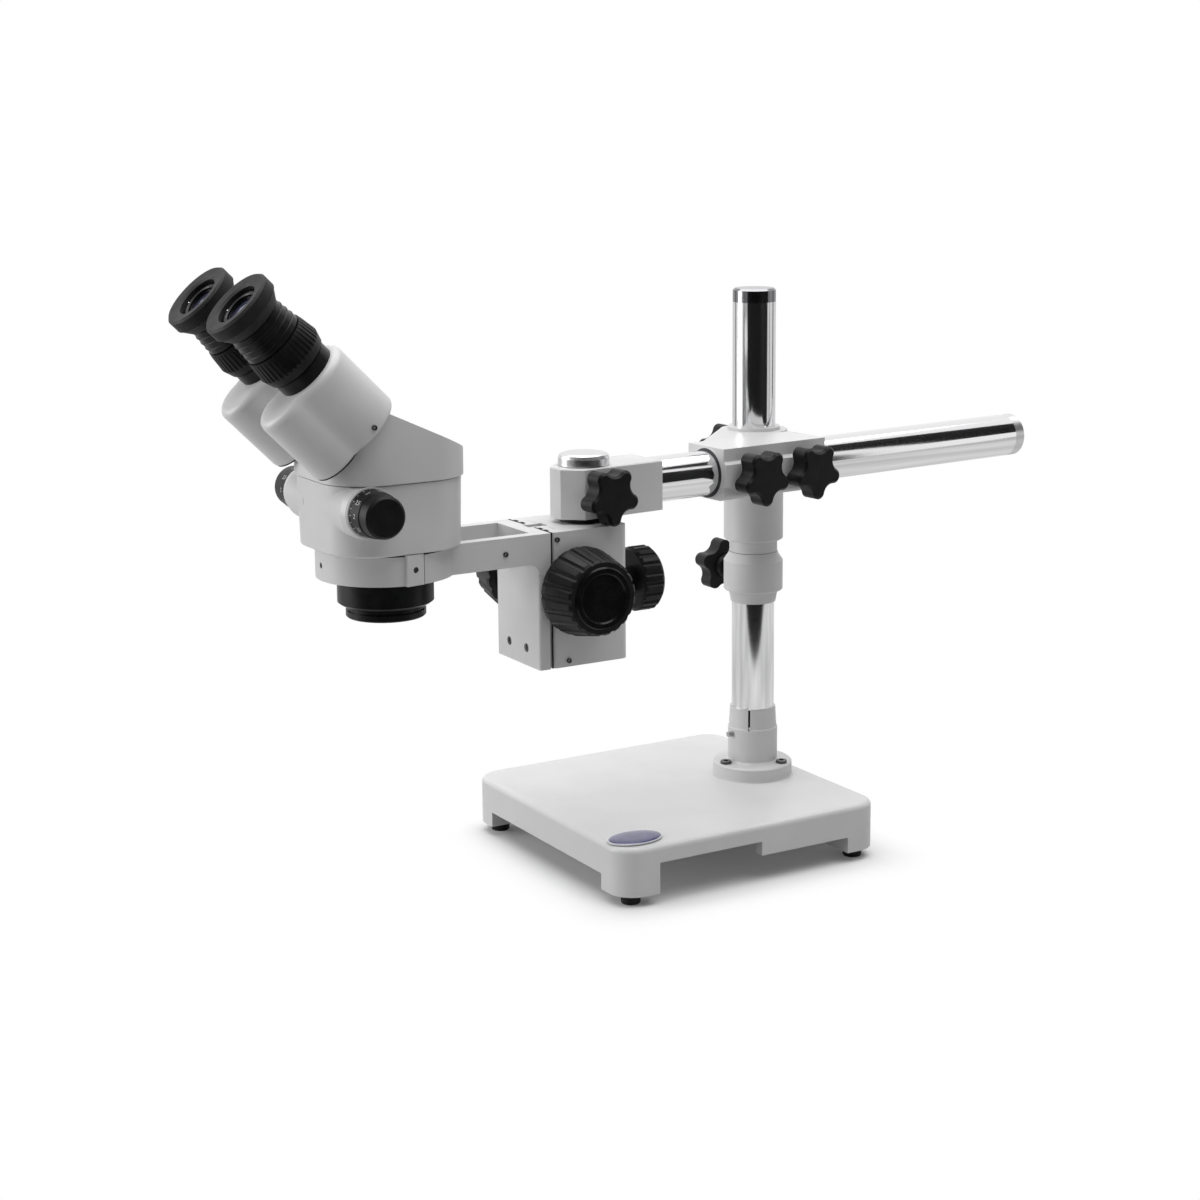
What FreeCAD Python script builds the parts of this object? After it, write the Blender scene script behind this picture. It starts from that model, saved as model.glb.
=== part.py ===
import FreeCAD, Part
import math
import os

# Stereo zoom microscope on a boom stand. Millimetres, +Z up, -Y towards the operator.
# The origin is the middle of the base plate, on the plane of its four rubber feet.

Vec = FreeCAD.Vector

# Base plate: a hollow casting on four corner legs with rubber feet
BASE_W = 222.0
BASE_D = 222.0
BASE_H = 35.0
BASE_CORNER_R = 19.0
BASE_EDGE_R = 4.0
BASE_PLATE_T = 12.0
BASE_SKIRT_T = 8.0
BASE_LEG = 30.0
FRONT_GAP_H = 11.5
SIDE_GAP_H = 22.5
SIDE_STEP_H = 12.0
SIDE_STEP_Y = 5.0
FOOT_H = 8.0
FOOT_R = 7.25
FOOT_INSET = 15.0
FOOT_PIN_R = 2.5
FOOT_PIN_H = 7.0
SEAT_H = 0.6

# Column socket: a flange with a collar, split at the top and bolted to the base
COLUMN_Y = 72.5
FLANGE_R = 30.0
FLANGE_T = 10.0
SOCKET_R = 18.8
SOCKET_H = 26.4
SOCKET_TIP_H = 16.0
SOCKET_NECK_R = 18.1
SOCKET_TIP_R = 17.2
SOCKET_SLIT = 1.6
SOCKET_SLIT_AT = -43.0
SOCKET_SCREWS = 3
SOCKET_SCREW_FIRST = -90.0
SOCKET_SCREW_PCD_R = 24.4
SCREW_HEAD_R = 4.2
SCREW_HEAD_H = 2.2
SCREW_SHANK_R = 2.5
SCREW_DEPTH = 7.0
SET_SCREW_DROP = 4.0
SET_SCREW_R = 2.0
SET_SCREW_OUT = 4.0

# Column and boom: chromed steel tubes of one diameter, each with an end plug
TUBE_R = 16.0
TUBE_WALL = 2.5
COLUMN_L = 370.4
PLUG_H = 10.0
PLUG_SPIGOT = 14.0
PLUG_CHAMFER = 1.5
RUN_FIT = 0.05
PART_GAP = 0.3

# Safety collar that carries the boom clamp on the column
COLLAR_LEVEL = 134.4
COLLAR_LIP_R = 16.9
COLLAR_LIP_H = 9.0
COLLAR_LIP_TOP_R = 18.6
COLLAR_R = 22.25
COLLAR_BODY_H = 22.6
COLLAR_TAPER_H = 6.8
COLLAR_TOP_R = 18.4
COLLAR_KNOB_UP = 20.0

# Boom clamp: sleeve on the column, cheek block round the boom
SLEEVE_NECK_R = 18.0
SLEEVE_NECK_H = 9.6
SLEEVE_R = 22.25
BOOM_SWING = 4.74
BOOM_OFFSET = 57.0
BOOM_RISE = 75.6
CLAMP_HALF_W = 20.0
CLAMP_BELOW = 18.0
CLAMP_ABOVE = 19.0
CLAMP_FRONT_L = 90.0
CLAMP_REAR_L = 3.0
CLAMP_BOSS_R = 25.0
CLAMP_RIB_H = 18.0
CLAMP_RIB_OUT = 2.6
CLAMP_RIB_LIFT = 1.0
CLAMP_RIB_EDGE = 2.0
CLAMP_RING_R = 19.5
CLAMP_RING_H = 2.4
CLAMP_EDGE = 4.0
BUSH_T = 1.6
BUSH_L = 12.0
CLAMP_KNOB_FIRST = 20.0
CLAMP_KNOB_PITCH = 47.0
CLAMP_KNOB_DROP = 1.0
BOOM_REAR_L = 212.0
BOOM_TO_POST_L = 17.1

# Pivot block on the front end of the boom, and the post that turns in it
BOOM_REACH_L = 195.1
PIVOT_HALF_W = 18.2
PIVOT_ABOVE = 16.5
PIVOT_BACK_L = 53.1
PIVOT_NOSE = 23.5
PIVOT_NOSE_HALF = 6.3
POST_R = 12.5
POST_FOOT_UP = 6.0
POST_CAP_R = 17.5
POST_CAP_H = 8.0
POST_CAP_ROUND = 3.0
WASHER_R = 17.0
WASHER_T = 3.2

# Focus block clamped on the post; local X and Y are counted from the post's axis
BLOCK_HALF_W = 30.0
BLOCK_FRONT = -43.0
BLOCK_REAR = 16.5
BLOCK_H = 92.5
BLOCK_CORNER = 5.0
SLIDE_MOUTH = 15.0
SLIDE_DEPTH = 9.0
SLIDE_ANGLE = 60.0
SLIDE_FIT = 0.3
RACK_HALF_W = 4.0
PINION_X_HALF = 6.0
PINION_UP = 52.8
GEAR_MODULE = 0.8
PINION_TEETH = 18
PRESSURE_ANGLE = 20.0
GEAR_PLAY_W = 0.12
PINION_BACK = 7.6
SHAFT_R = 4.0
BUSHING_R = 6.5
BUSHING_L = 10.0
FOCUS_HUB_R = 11.0
FOCUS_HUB_L = 4.0
FOCUS_KNOB_R = 30.0
FOCUS_KNOB_FACE_R = 24.5
FOCUS_KNOB_L = 32.0
FOCUS_FLUTES = 20
FOCUS_FLUTE_R = 2.4
FOCUS_CAP_R = 21.0
FOCUS_CAP_H = 1.4
LOCK_KNOB_R = 22.5
LOCK_KNOB_L = 17.0
LOCK_KNOB_OUT = 19.0
LOCK_KNOB_UP = 47.0
LOCK_FLUTES = 20

# Carriage, arms and the ring that holds the head
CARRIAGE_T = 9.0
ARM_T = 8.0
ARM_H = 20.0
ARM_DROP = 27.5
ARM_BLEND_R = 7.0
RING_AHEAD = 150.0
RING_R = 45.0
RING_BORE_R = 38.0
RING_SLIT = 1.2
PAD_SWEEP = 17.0
PAD_TURN = 8.0
PAD_OUT = 1.0
ARM_SCREW_R = 2.0
RACK_SCREW_X = (-13.0, 11.0)
RACK_SCREW_Z = 12.0
RACK_SCREW_R = 3.0
RACK_SCREW_SUNK = 1.2
RACK_SCREW_T = 1.0

# Head: zoom body, cover with the 45 degree front, nose and knobs
HEAD_HALF_W = 48.0
HEAD_FRONT = 50.0
HEAD_REAR = 44.5
HEAD_CORNER = 32.0
HEAD_BODY_H = 46.2
COVER_OVERHANG = 1.2
COVER_REAR_H = 16.0
COVER_RIDGE_H = 44.5
HEAD_DRAFT = 1.0
HEAD_FOOT_R = 1.6
SEAM_H = 0.9
SEAM_DEPTH = 1.6
NOSE_R = 31.5
NOSE_L = 18.9
NOSE_NECK_R = 25.0
NOSE_NECK_L = 4.2
RIM_R = 26.2
RIM_H = 4.4
LENS_THREAD_R = 24.0
LENS_THREAD_L = 5.0
OBJECTIVE_R = 9.5
OBJECTIVE_X = 11.0
OBJECTIVE_T = 3.0
ZOOM_AHEAD = 32.0
ZOOM_DROP = 16.0
ZOOM_BOSS_X = 48.5
ZOOM_BOSS_R = 16.6
ZOOM_BOSS_EDGE_L = 5.0
ZOOM_BOSS_ROOT_X = 14.0
ZOOM_BOSS_ROOT_R = 17.9
ZOOM_RING_R = 16.2
ZOOM_RING_T = 1.4
ZOOM_KNOB_R = 13.5
ZOOM_KNOB_ROOT_R = 15.3
ZOOM_KNOB_FACE_X = 72.5
ZOOM_SHAFT_R = 3.0

# Prism housings and eyepieces; their local Z runs along the tilted eye axis
EYE_TILT = 45.0
EYE_SPACING = 65.0
EYE_END_AHEAD = 64.8
EYE_END_RISE = 72.4
PRISM_L = 53.0
PRISM_R = 24.5
PRISM_LOBE_R = 19.0
PRISM_LOBE_DOWN = 25.0
PRISM_WAIST_R = 12.0
PRISM_LEVER = 23.0
PRISM_EDGE_R = 5.0
PRISM_REAR_EDGE_R = 3.0
PRISM_GAP = 0.6
PRISM_PIN_R = 5.5
PRISM_PIN_L = 12.0
EYE_TUBE_R = 19.5
EYE_TUBE_L = 8.0
EYE_BORE_R = 15.0
EYE_BORE_DEPTH = 26.0
DIOPTRE_R = 22.8
DIOPTRE_END_R = 20.8
DIOPTRE_SHOULDER_R = 21.4
DIOPTRE_SHOULDER_L = 3.0
DIOPTRE_BELLY_SHARE = 0.33
DIOPTRE_L = 20.5
DIOPTRE_RIBS = 40
DIOPTRE_RIB_T = 0.8
DIOPTRE_RIBS_FROM = 4.1
DIOPTRE_RIBS_L = 13.3
BARREL_R = 20.0
BARREL_NECK_R = 17.6
BARREL_NECK_STEP = 1.0
BARREL_EDGE = 0.6
BARREL_TOP = 58.0
EYECUP_R = 24.0
EYECUP_BOTTOM = 48.0
EYECUP_SIDE_L = 9.0
EYECUP_TOP = 64.0
EYECUP_MOUTH_R = 14.6
EYECUP_LIP_T = 5.0
EYECUP_EDGE = 1.5
EYECUP_DISH = 0.8
EYECUP_MOUTH_EDGE = 2.0
EYECUP_WALL_T = 1.6
EYE_LENS_R = 10.0
EYE_LENS_T = 2.6
EYE_LENS_CROWN = 1.4
EYE_LENS_FLAT = 1.0

# Star knobs of the clamps
STAR_R = 20.0
STAR_LOBES = 5
STAR_LOBE_R = 5.2
STAR_VALLEY_R = 8.0
STAR_T = 14.0
STAR_HUB_R = 9.0
STAR_HUB_H = 4.0
STAR_STEM_R = 3.9
STAR_EDGE = 1.6
KNOB_STANDOFF = 1.4
COLLAR_KNOB_STANDOFF = 12.0
BOOM_KNOB_TURN = 14.0
PIVOT_KNOB_TURN = -17.0

# Levels, from the table up
BASE_TOP = FOOT_H + BASE_H
FRONT_GAP_Z = FOOT_H + FRONT_GAP_H
SIDE_GAP_Z = FOOT_H + SIDE_GAP_H
SIDE_STEP_Z = FOOT_H + SIDE_STEP_H
BASE_SEAT = BASE_TOP + SEAT_H
FLANGE_TOP = BASE_SEAT + FLANGE_T
SOCKET_TOP = FLANGE_TOP + SOCKET_H
SOCKET_TIP = SOCKET_TOP + SOCKET_TIP_H
SET_SCREW_Z = SOCKET_TOP - SET_SCREW_DROP
COLUMN_TOP = BASE_SEAT + COLUMN_L
COLLAR_BOTTOM = BASE_SEAT + COLLAR_LEVEL
COLLAR_LIP_TOP = COLLAR_BOTTOM + COLLAR_LIP_H
COLLAR_BODY_TOP = COLLAR_LIP_TOP + COLLAR_BODY_H
COLLAR_TOP = COLLAR_BODY_TOP + COLLAR_TAPER_H
COLLAR_KNOB_Z = COLLAR_BOTTOM + COLLAR_KNOB_UP
SLEEVE_NECK_TOP = COLLAR_TOP + SLEEVE_NECK_H
BOOM_Z = COLLAR_TOP + BOOM_RISE
CLAMP_BOTTOM = BOOM_Z - CLAMP_BELOW
CLAMP_TOP = BOOM_Z + CLAMP_ABOVE
PIVOT_BOTTOM = CLAMP_BOTTOM
PIVOT_TOP = BOOM_Z + PIVOT_ABOVE
BLOCK_TOP = PIVOT_BOTTOM - WASHER_T - PART_GAP
BLOCK_BOTTOM = BLOCK_TOP - BLOCK_H
POST_FOOT = BLOCK_BOTTOM + POST_FOOT_UP
PINION_Z = BLOCK_BOTTOM + PINION_UP
LOCK_KNOB_Z = BLOCK_BOTTOM + LOCK_KNOB_UP
ARM_TOP = BLOCK_TOP
ARM_BOTTOM = ARM_TOP - ARM_H
ARM_ROOT = ARM_TOP - ARM_DROP
NOSE_BOTTOM = ARM_BOTTOM - NOSE_L
NOSE_NECK_BOTTOM = NOSE_BOTTOM - NOSE_NECK_L
RIM_BOTTOM = NOSE_NECK_BOTTOM - RIM_H
HEAD_BOTTOM = ARM_TOP + PART_GAP
HEAD_SEAM = HEAD_BOTTOM + HEAD_BODY_H
COVER_REAR_Z = HEAD_SEAM + COVER_REAR_H
COVER_RIDGE_Z = HEAD_SEAM + COVER_RIDGE_H
ZOOM_Z = HEAD_SEAM - ZOOM_DROP
EYE_END_Z = HEAD_SEAM + EYE_END_RISE

# Places that follow from the sizes above
COLUMN = Vec(0, COLUMN_Y, 0)
TUBE_IN_R = TUBE_R - TUBE_WALL
FIT_R = TUBE_R + RUN_FIT
SWING = math.radians(BOOM_SWING)
BOOM_FRONT_L = BOOM_REACH_L - BOOM_TO_POST_L
PIVOT_REAR_L = BOOM_REACH_L - PIVOT_BACK_L
POST = COLUMN + Vec(
    BOOM_OFFSET * math.cos(SWING) + BOOM_REACH_L * math.sin(SWING),
    BOOM_OFFSET * math.sin(SWING) - BOOM_REACH_L * math.cos(SWING),
    0,
)
RING = POST + Vec(0, -RING_AHEAD, 0)
PINION_PITCH_R = GEAR_MODULE * PINION_TEETH / 2
PINION_Y = BLOCK_FRONT + SLIDE_DEPTH + PINION_BACK + GEAR_MODULE * 2
RACK_PITCH_Y = PINION_Y - PINION_PITCH_R
CARRIAGE_BACK = BLOCK_FRONT - SLIDE_FIT
CARRIAGE_FACE = CARRIAGE_BACK - CARRIAGE_T

EXTRA = 5.0
NODES = {}


def box(x0, x1, y0, y1, z0, z1):
    """A block between two corners."""
    return Part.makeBox(x1 - x0, y1 - y0, z1 - z0, Vec(x0, y0, z0))


def rod(radius, start, axis, length):
    """A cylinder from a point along an axis."""
    return Part.makeCylinder(radius, length, start, axis)


def turned(points, at=Vec(0, 0, 0)):
    """A solid of revolution about Z from (radius, height) points."""
    corners = [Vec(r, 0, z) for r, z in points]
    face = Part.Face(Part.makePolygon(corners + corners[:1]))
    solid = face.revolve(Vec(0, 0, 0), Vec(0, 0, 1), 360)
    solid.translate(at)
    return solid


def rounded_outline(x0, x1, y0, y1, corner, z):
    """A rectangle with four equal round corners, as a wire at one height."""
    k = corner * (1 - math.sqrt(0.5))
    arcs = [
        (Vec(x1 - corner, y0, z), Vec(x1 - k, y0 + k, z), Vec(x1, y0 + corner, z)),
        (Vec(x1, y1 - corner, z), Vec(x1 - k, y1 - k, z), Vec(x1 - corner, y1, z)),
        (Vec(x0 + corner, y1, z), Vec(x0 + k, y1 - k, z), Vec(x0, y1 - corner, z)),
        (Vec(x0, y0 + corner, z), Vec(x0 + k, y0 + k, z), Vec(x0 + corner, y0, z)),
    ]
    edges = []
    for i, (a, m, b) in enumerate(arcs):
        edges.append(Part.Arc(a, m, b).toShape())
        following = arcs[(i + 1) % 4][0]
        if b.distanceToPoint(following) > 1e-6:
            edges.append(Part.LineSegment(b, following).toShape())
    return Part.Wire(edges)


def rounded_block(x0, x1, y0, y1, z0, z1, corner):
    """An upright block with round vertical corners."""
    return Part.Face(rounded_outline(x0, x1, y0, y1, corner, z0)).extrude(Vec(0, 0, z1 - z0))


def edges_where(solid, test):
    """The edges of a solid whose every vertex passes a test."""
    return [e for e in solid.Edges if all(test(v.Point) for v in e.Vertexes)]


def edges_at_height(solid, z):
    """The edges that lie in one horizontal plane."""
    return edges_where(solid, lambda p: abs(p.z - z) < 1e-4)


def swung(shape):
    """Turn a shape that was drawn with the boom along Y to the boom's real direction."""
    shape.rotate(COLUMN, Vec(0, 0, 1), BOOM_SWING)
    return shape


def at_post(shape):
    """Move a shape drawn round the post's axis to its place."""
    shape.translate(POST)
    return shape


def at_ring(shape):
    """Move a shape drawn round the head ring's axis to its place."""
    shape.translate(RING)
    return shape


def plus(first, *others):
    """Join solids and drop the seams between coplanar faces."""
    return first.fuse(list(others)).removeSplitter()


def ring_of(count, make, start=0.0):
    """Copies of one shape round Z, from an angle in degrees."""
    return [make(start + 360.0 * i / count) for i in range(count)]


def polar(radius, degrees, z=0.0):
    """A point given by its radius and angle about Z."""
    a = math.radians(degrees)
    return Vec(radius * math.cos(a), radius * math.sin(a), z)


def base_plate():
    """Top plate, skirts with foot gaps, solid corner legs and a raised seat for the column."""
    hw, hd = BASE_W / 2, BASE_D / 2
    body = rounded_block(-hw, hw, -hd, hd, FOOT_H, BASE_TOP, BASE_CORNER_R)
    body = body.makeFillet(BASE_EDGE_R, edges_at_height(body, BASE_TOP))
    t = BASE_SKIRT_T
    hollow = rounded_block(
        -hw + t, hw - t, -hd + t, hd - t, FOOT_H - EXTRA, BASE_TOP - BASE_PLATE_T, BASE_CORNER_R - t
    )
    legs = []
    for sx in (-1, 1):
        for sy in (-1, 1):
            x, y = sx * (hw - BASE_LEG / 2), sy * (hd - BASE_LEG / 2)
            legs.append(box(
                x - BASE_LEG / 2, x + BASE_LEG / 2, y - BASE_LEG / 2, y + BASE_LEG / 2,
                FOOT_H - EXTRA, BASE_TOP
            ))
    body = body.cut(hollow.cut(legs))
    lx, ly = hw - BASE_LEG, hd - BASE_LEG
    gaps = [
        box(-lx, lx, -hd - EXTRA, hd + EXTRA, FOOT_H - EXTRA, FRONT_GAP_Z),
        box(-hw - EXTRA, hw + EXTRA, -ly, SIDE_STEP_Y, FOOT_H - EXTRA, SIDE_GAP_Z),
        box(-hw - EXTRA, hw + EXTRA, SIDE_STEP_Y, ly, FOOT_H - EXTRA, SIDE_STEP_Z),
    ]
    body = body.cut(gaps)
    body = body.fuse(rod(FLANGE_R + 1, COLUMN + Vec(0, 0, BASE_TOP - 1), Vec(0, 0, 1), SEAT_H + 1))
    holes = [
        rod(SCREW_SHANK_R + RUN_FIT, p + Vec(0, 0, BASE_SEAT - SCREW_DEPTH), Vec(0, 0, 1), SCREW_DEPTH + 1)
        for p in socket_screw_places()
    ]
    holes += [
        rod(FOOT_PIN_R + RUN_FIT, p, Vec(0, 0, 1), FOOT_PIN_H) for p in foot_places()
    ]
    return body.cut(holes).removeSplitter()


def foot_places():
    """The four foot centres on the underside of the legs."""
    x, y = BASE_W / 2 - FOOT_INSET, BASE_D / 2 - FOOT_INSET
    return [Vec(sx * x, sy * y, FOOT_H) for sx in (-1, 1) for sy in (-1, 1)]


def rubber_feet():
    """Four slightly tapered feet, each with a peg in its leg."""
    feet = []
    for p in foot_places():
        foot = turned([
            (0, -FOOT_H), (FOOT_R - 1, -FOOT_H), (FOOT_R - 0.4, -FOOT_H + 0.8), (FOOT_R, 0),
            (FOOT_PIN_R, 0), (FOOT_PIN_R, FOOT_PIN_H - 0.5), (0, FOOT_PIN_H - 0.5),
        ], p)
        feet.append(foot)
    return Part.makeCompound(feet)


def socket_screw_places():
    """Screw centres on the flange, at the height of the base's seat."""
    return [COLUMN + p for p in ring_of(SOCKET_SCREWS, lambda a: polar(SOCKET_SCREW_PCD_R, a), SOCKET_SCREW_FIRST)]


def column_socket():
    """Flange and collar turned in one piece, with a split tip that grips the column."""
    body = turned([
        (FIT_R, BASE_SEAT), (FLANGE_R, BASE_SEAT), (FLANGE_R, FLANGE_TOP - 1.2),
        (FLANGE_R - 1.2, FLANGE_TOP), (SOCKET_R + 1.5, FLANGE_TOP), (SOCKET_R, FLANGE_TOP + 1.5),
        (SOCKET_R, SOCKET_TOP), (SOCKET_NECK_R, SOCKET_TOP + 1), (SOCKET_TIP_R, SOCKET_TIP),
        (FIT_R, SOCKET_TIP),
    ], COLUMN)
    slit = box(0, SOCKET_R + EXTRA, -SOCKET_SLIT / 2, SOCKET_SLIT / 2, SOCKET_TOP, SOCKET_TIP + EXTRA)
    slit.rotate(Vec(0, 0, 0), Vec(0, 0, 1), SOCKET_SLIT_AT)
    slit.translate(COLUMN)
    cuts = [slit]
    cuts += [
        rod(SCREW_SHANK_R + RUN_FIT, p + Vec(0, 0, BASE_SEAT - 1), Vec(0, 0, 1), FLANGE_T + 2)
        for p in socket_screw_places()
    ]
    cuts.append(rod(
        SET_SCREW_R + RUN_FIT, COLUMN + Vec(0, -SOCKET_R - EXTRA, SET_SCREW_Z), Vec(0, 1, 0), EXTRA * 2
    ))
    return body.cut(cuts)


def cap_screw(head_r, head_h, shank_r, shank_l, at, axis=Vec(0, 0, 1)):
    """Socket cap screw: the head stands on a plane at the given point, the shank goes below."""
    body = turned([
        (0, -shank_l), (shank_r, -shank_l), (shank_r, 0), (head_r, 0),
        (head_r, head_h - 0.4), (head_r - 0.4, head_h), (0, head_h),
    ])
    hexagon = Part.Face(Part.makePolygon([
        polar(head_r * 0.52, 60.0 * i, head_h - head_h * 0.7) for i in range(7)
    ]))
    body = body.cut(hexagon.extrude(Vec(0, 0, head_h)))
    body.Placement = FreeCAD.Placement(at, FreeCAD.Rotation(Vec(0, 0, 1), axis))
    return body


def socket_screws():
    """The screws that hold the flange down."""
    return Part.makeCompound([
        cap_screw(SCREW_HEAD_R, SCREW_HEAD_H, SCREW_SHANK_R, FLANGE_T + SCREW_DEPTH - 0.5, p + Vec(0, 0, FLANGE_TOP))
        for p in socket_screw_places()
    ])


def socket_set_screw():
    """The screw that locks the column in its socket."""
    length = SOCKET_R - FIT_R + SET_SCREW_OUT
    return rod(SET_SCREW_R, COLUMN + Vec(0, -FIT_R - length, SET_SCREW_Z), Vec(0, 1, 0), length)


def chrome_tube(length):
    """A tube along Z from the origin."""
    return rod(TUBE_R, Vec(0, 0, 0), Vec(0, 0, 1), length).cut(
        rod(TUBE_IN_R, Vec(0, 0, -1), Vec(0, 0, 1), length + 2)
    )


def end_plug():
    """Push-in plug whose band is as wide as the tube; its band starts at the origin."""
    spigot = TUBE_IN_R - RUN_FIT
    return turned([
        (0, -PLUG_SPIGOT), (spigot - 1, -PLUG_SPIGOT), (spigot, -PLUG_SPIGOT + 1), (spigot, 0),
        (TUBE_R, 0), (TUBE_R, PLUG_H - PLUG_CHAMFER), (TUBE_R - PLUG_CHAMFER, PLUG_H), (0, PLUG_H),
    ])


def column_tube():
    """The upright tube, standing on the base's seat."""
    tube = chrome_tube(COLUMN_TOP - PLUG_H - BASE_SEAT)
    tube.translate(COLUMN + Vec(0, 0, BASE_SEAT))
    return tube


def column_cap():
    """The plug in the top of the column."""
    plug = end_plug()
    plug.translate(COLUMN + Vec(0, 0, COLUMN_TOP - PLUG_H))
    return plug


def collar_ring():
    """Safety collar with a tapered lip, tapped for its knob on the far side."""
    body = turned([
        (FIT_R, COLLAR_BOTTOM), (COLLAR_LIP_R, COLLAR_BOTTOM), (COLLAR_LIP_TOP_R, COLLAR_LIP_TOP),
        (COLLAR_R - 0.8, COLLAR_LIP_TOP), (COLLAR_R, COLLAR_LIP_TOP + 0.8),
        (COLLAR_R, COLLAR_BODY_TOP), (COLLAR_TOP_R, COLLAR_TOP - 1), (COLLAR_TOP_R, COLLAR_TOP),
        (FIT_R, COLLAR_TOP),
    ], COLUMN)
    return body.cut(rod(
        STAR_STEM_R + RUN_FIT, COLUMN + Vec(-COLLAR_R - EXTRA, 0, COLLAR_KNOB_Z), Vec(1, 0, 0), COLLAR_R
    ))


def star_outline(z):
    """Five lobes and five hollows, each an arc, meeting where they are tangent."""
    lobe_at = STAR_R - STAR_LOBE_R
    half = 180.0 / STAR_LOBES
    across = lobe_at * math.cos(math.radians(half))
    reach = STAR_LOBE_R + STAR_VALLEY_R
    valley_at = across + math.sqrt(across * across - lobe_at * lobe_at + reach * reach)
    edges = []
    for i in range(STAR_LOBES):
        middle = 2 * half * i
        lobe = polar(lobe_at, middle, z)
        before = polar(valley_at, middle - half, z)
        after = polar(valley_at, middle + half, z)
        following = polar(lobe_at, middle + 2 * half, z)
        share = STAR_LOBE_R / reach
        start = lobe + (before - lobe) * share
        end = lobe + (after - lobe) * share
        resume = following + (after - following) * share
        edges.append(Part.Arc(start, polar(STAR_R, middle, z), end).toShape())
        hollow = polar(valley_at - STAR_VALLEY_R, middle + half, z)
        edges.append(Part.Arc(end, hollow, resume).toShape())
    return Part.Wire(edges)


def star_knob(seat, outward, stem, standoff, turn=0.0):
    """Star knob on a threaded stem: seat is where the stem leaves the casting."""
    star = Part.Face(star_outline(standoff + STAR_HUB_H)).extrude(Vec(0, 0, STAR_T))
    top = standoff + STAR_HUB_H + STAR_T
    star = star.makeChamfer(STAR_EDGE, edges_at_height(star, top))
    hub = turned([
        (0, standoff), (STAR_HUB_R - 1.5, standoff), (STAR_HUB_R, standoff + 2),
        (STAR_HUB_R, standoff + STAR_HUB_H + 1), (0, standoff + STAR_HUB_H + 1),
    ])
    screw = rod(STAR_STEM_R, Vec(0, 0, -stem), Vec(0, 0, 1), stem + standoff + 1)
    knob = plus(star, hub, screw)
    knob.rotate(Vec(0, 0, 0), Vec(0, 0, 1), turn)
    knob.Placement = FreeCAD.Placement(seat, FreeCAD.Rotation(Vec(0, 0, 1), outward))
    return knob


def collar_knob():
    """Locks the safety collar."""
    stem = COLLAR_R - TUBE_R - PART_GAP
    return star_knob(COLUMN + Vec(-COLLAR_R, 0, COLLAR_KNOB_Z), Vec(-1, 0, 0), stem, COLLAR_KNOB_STANDOFF)


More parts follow.
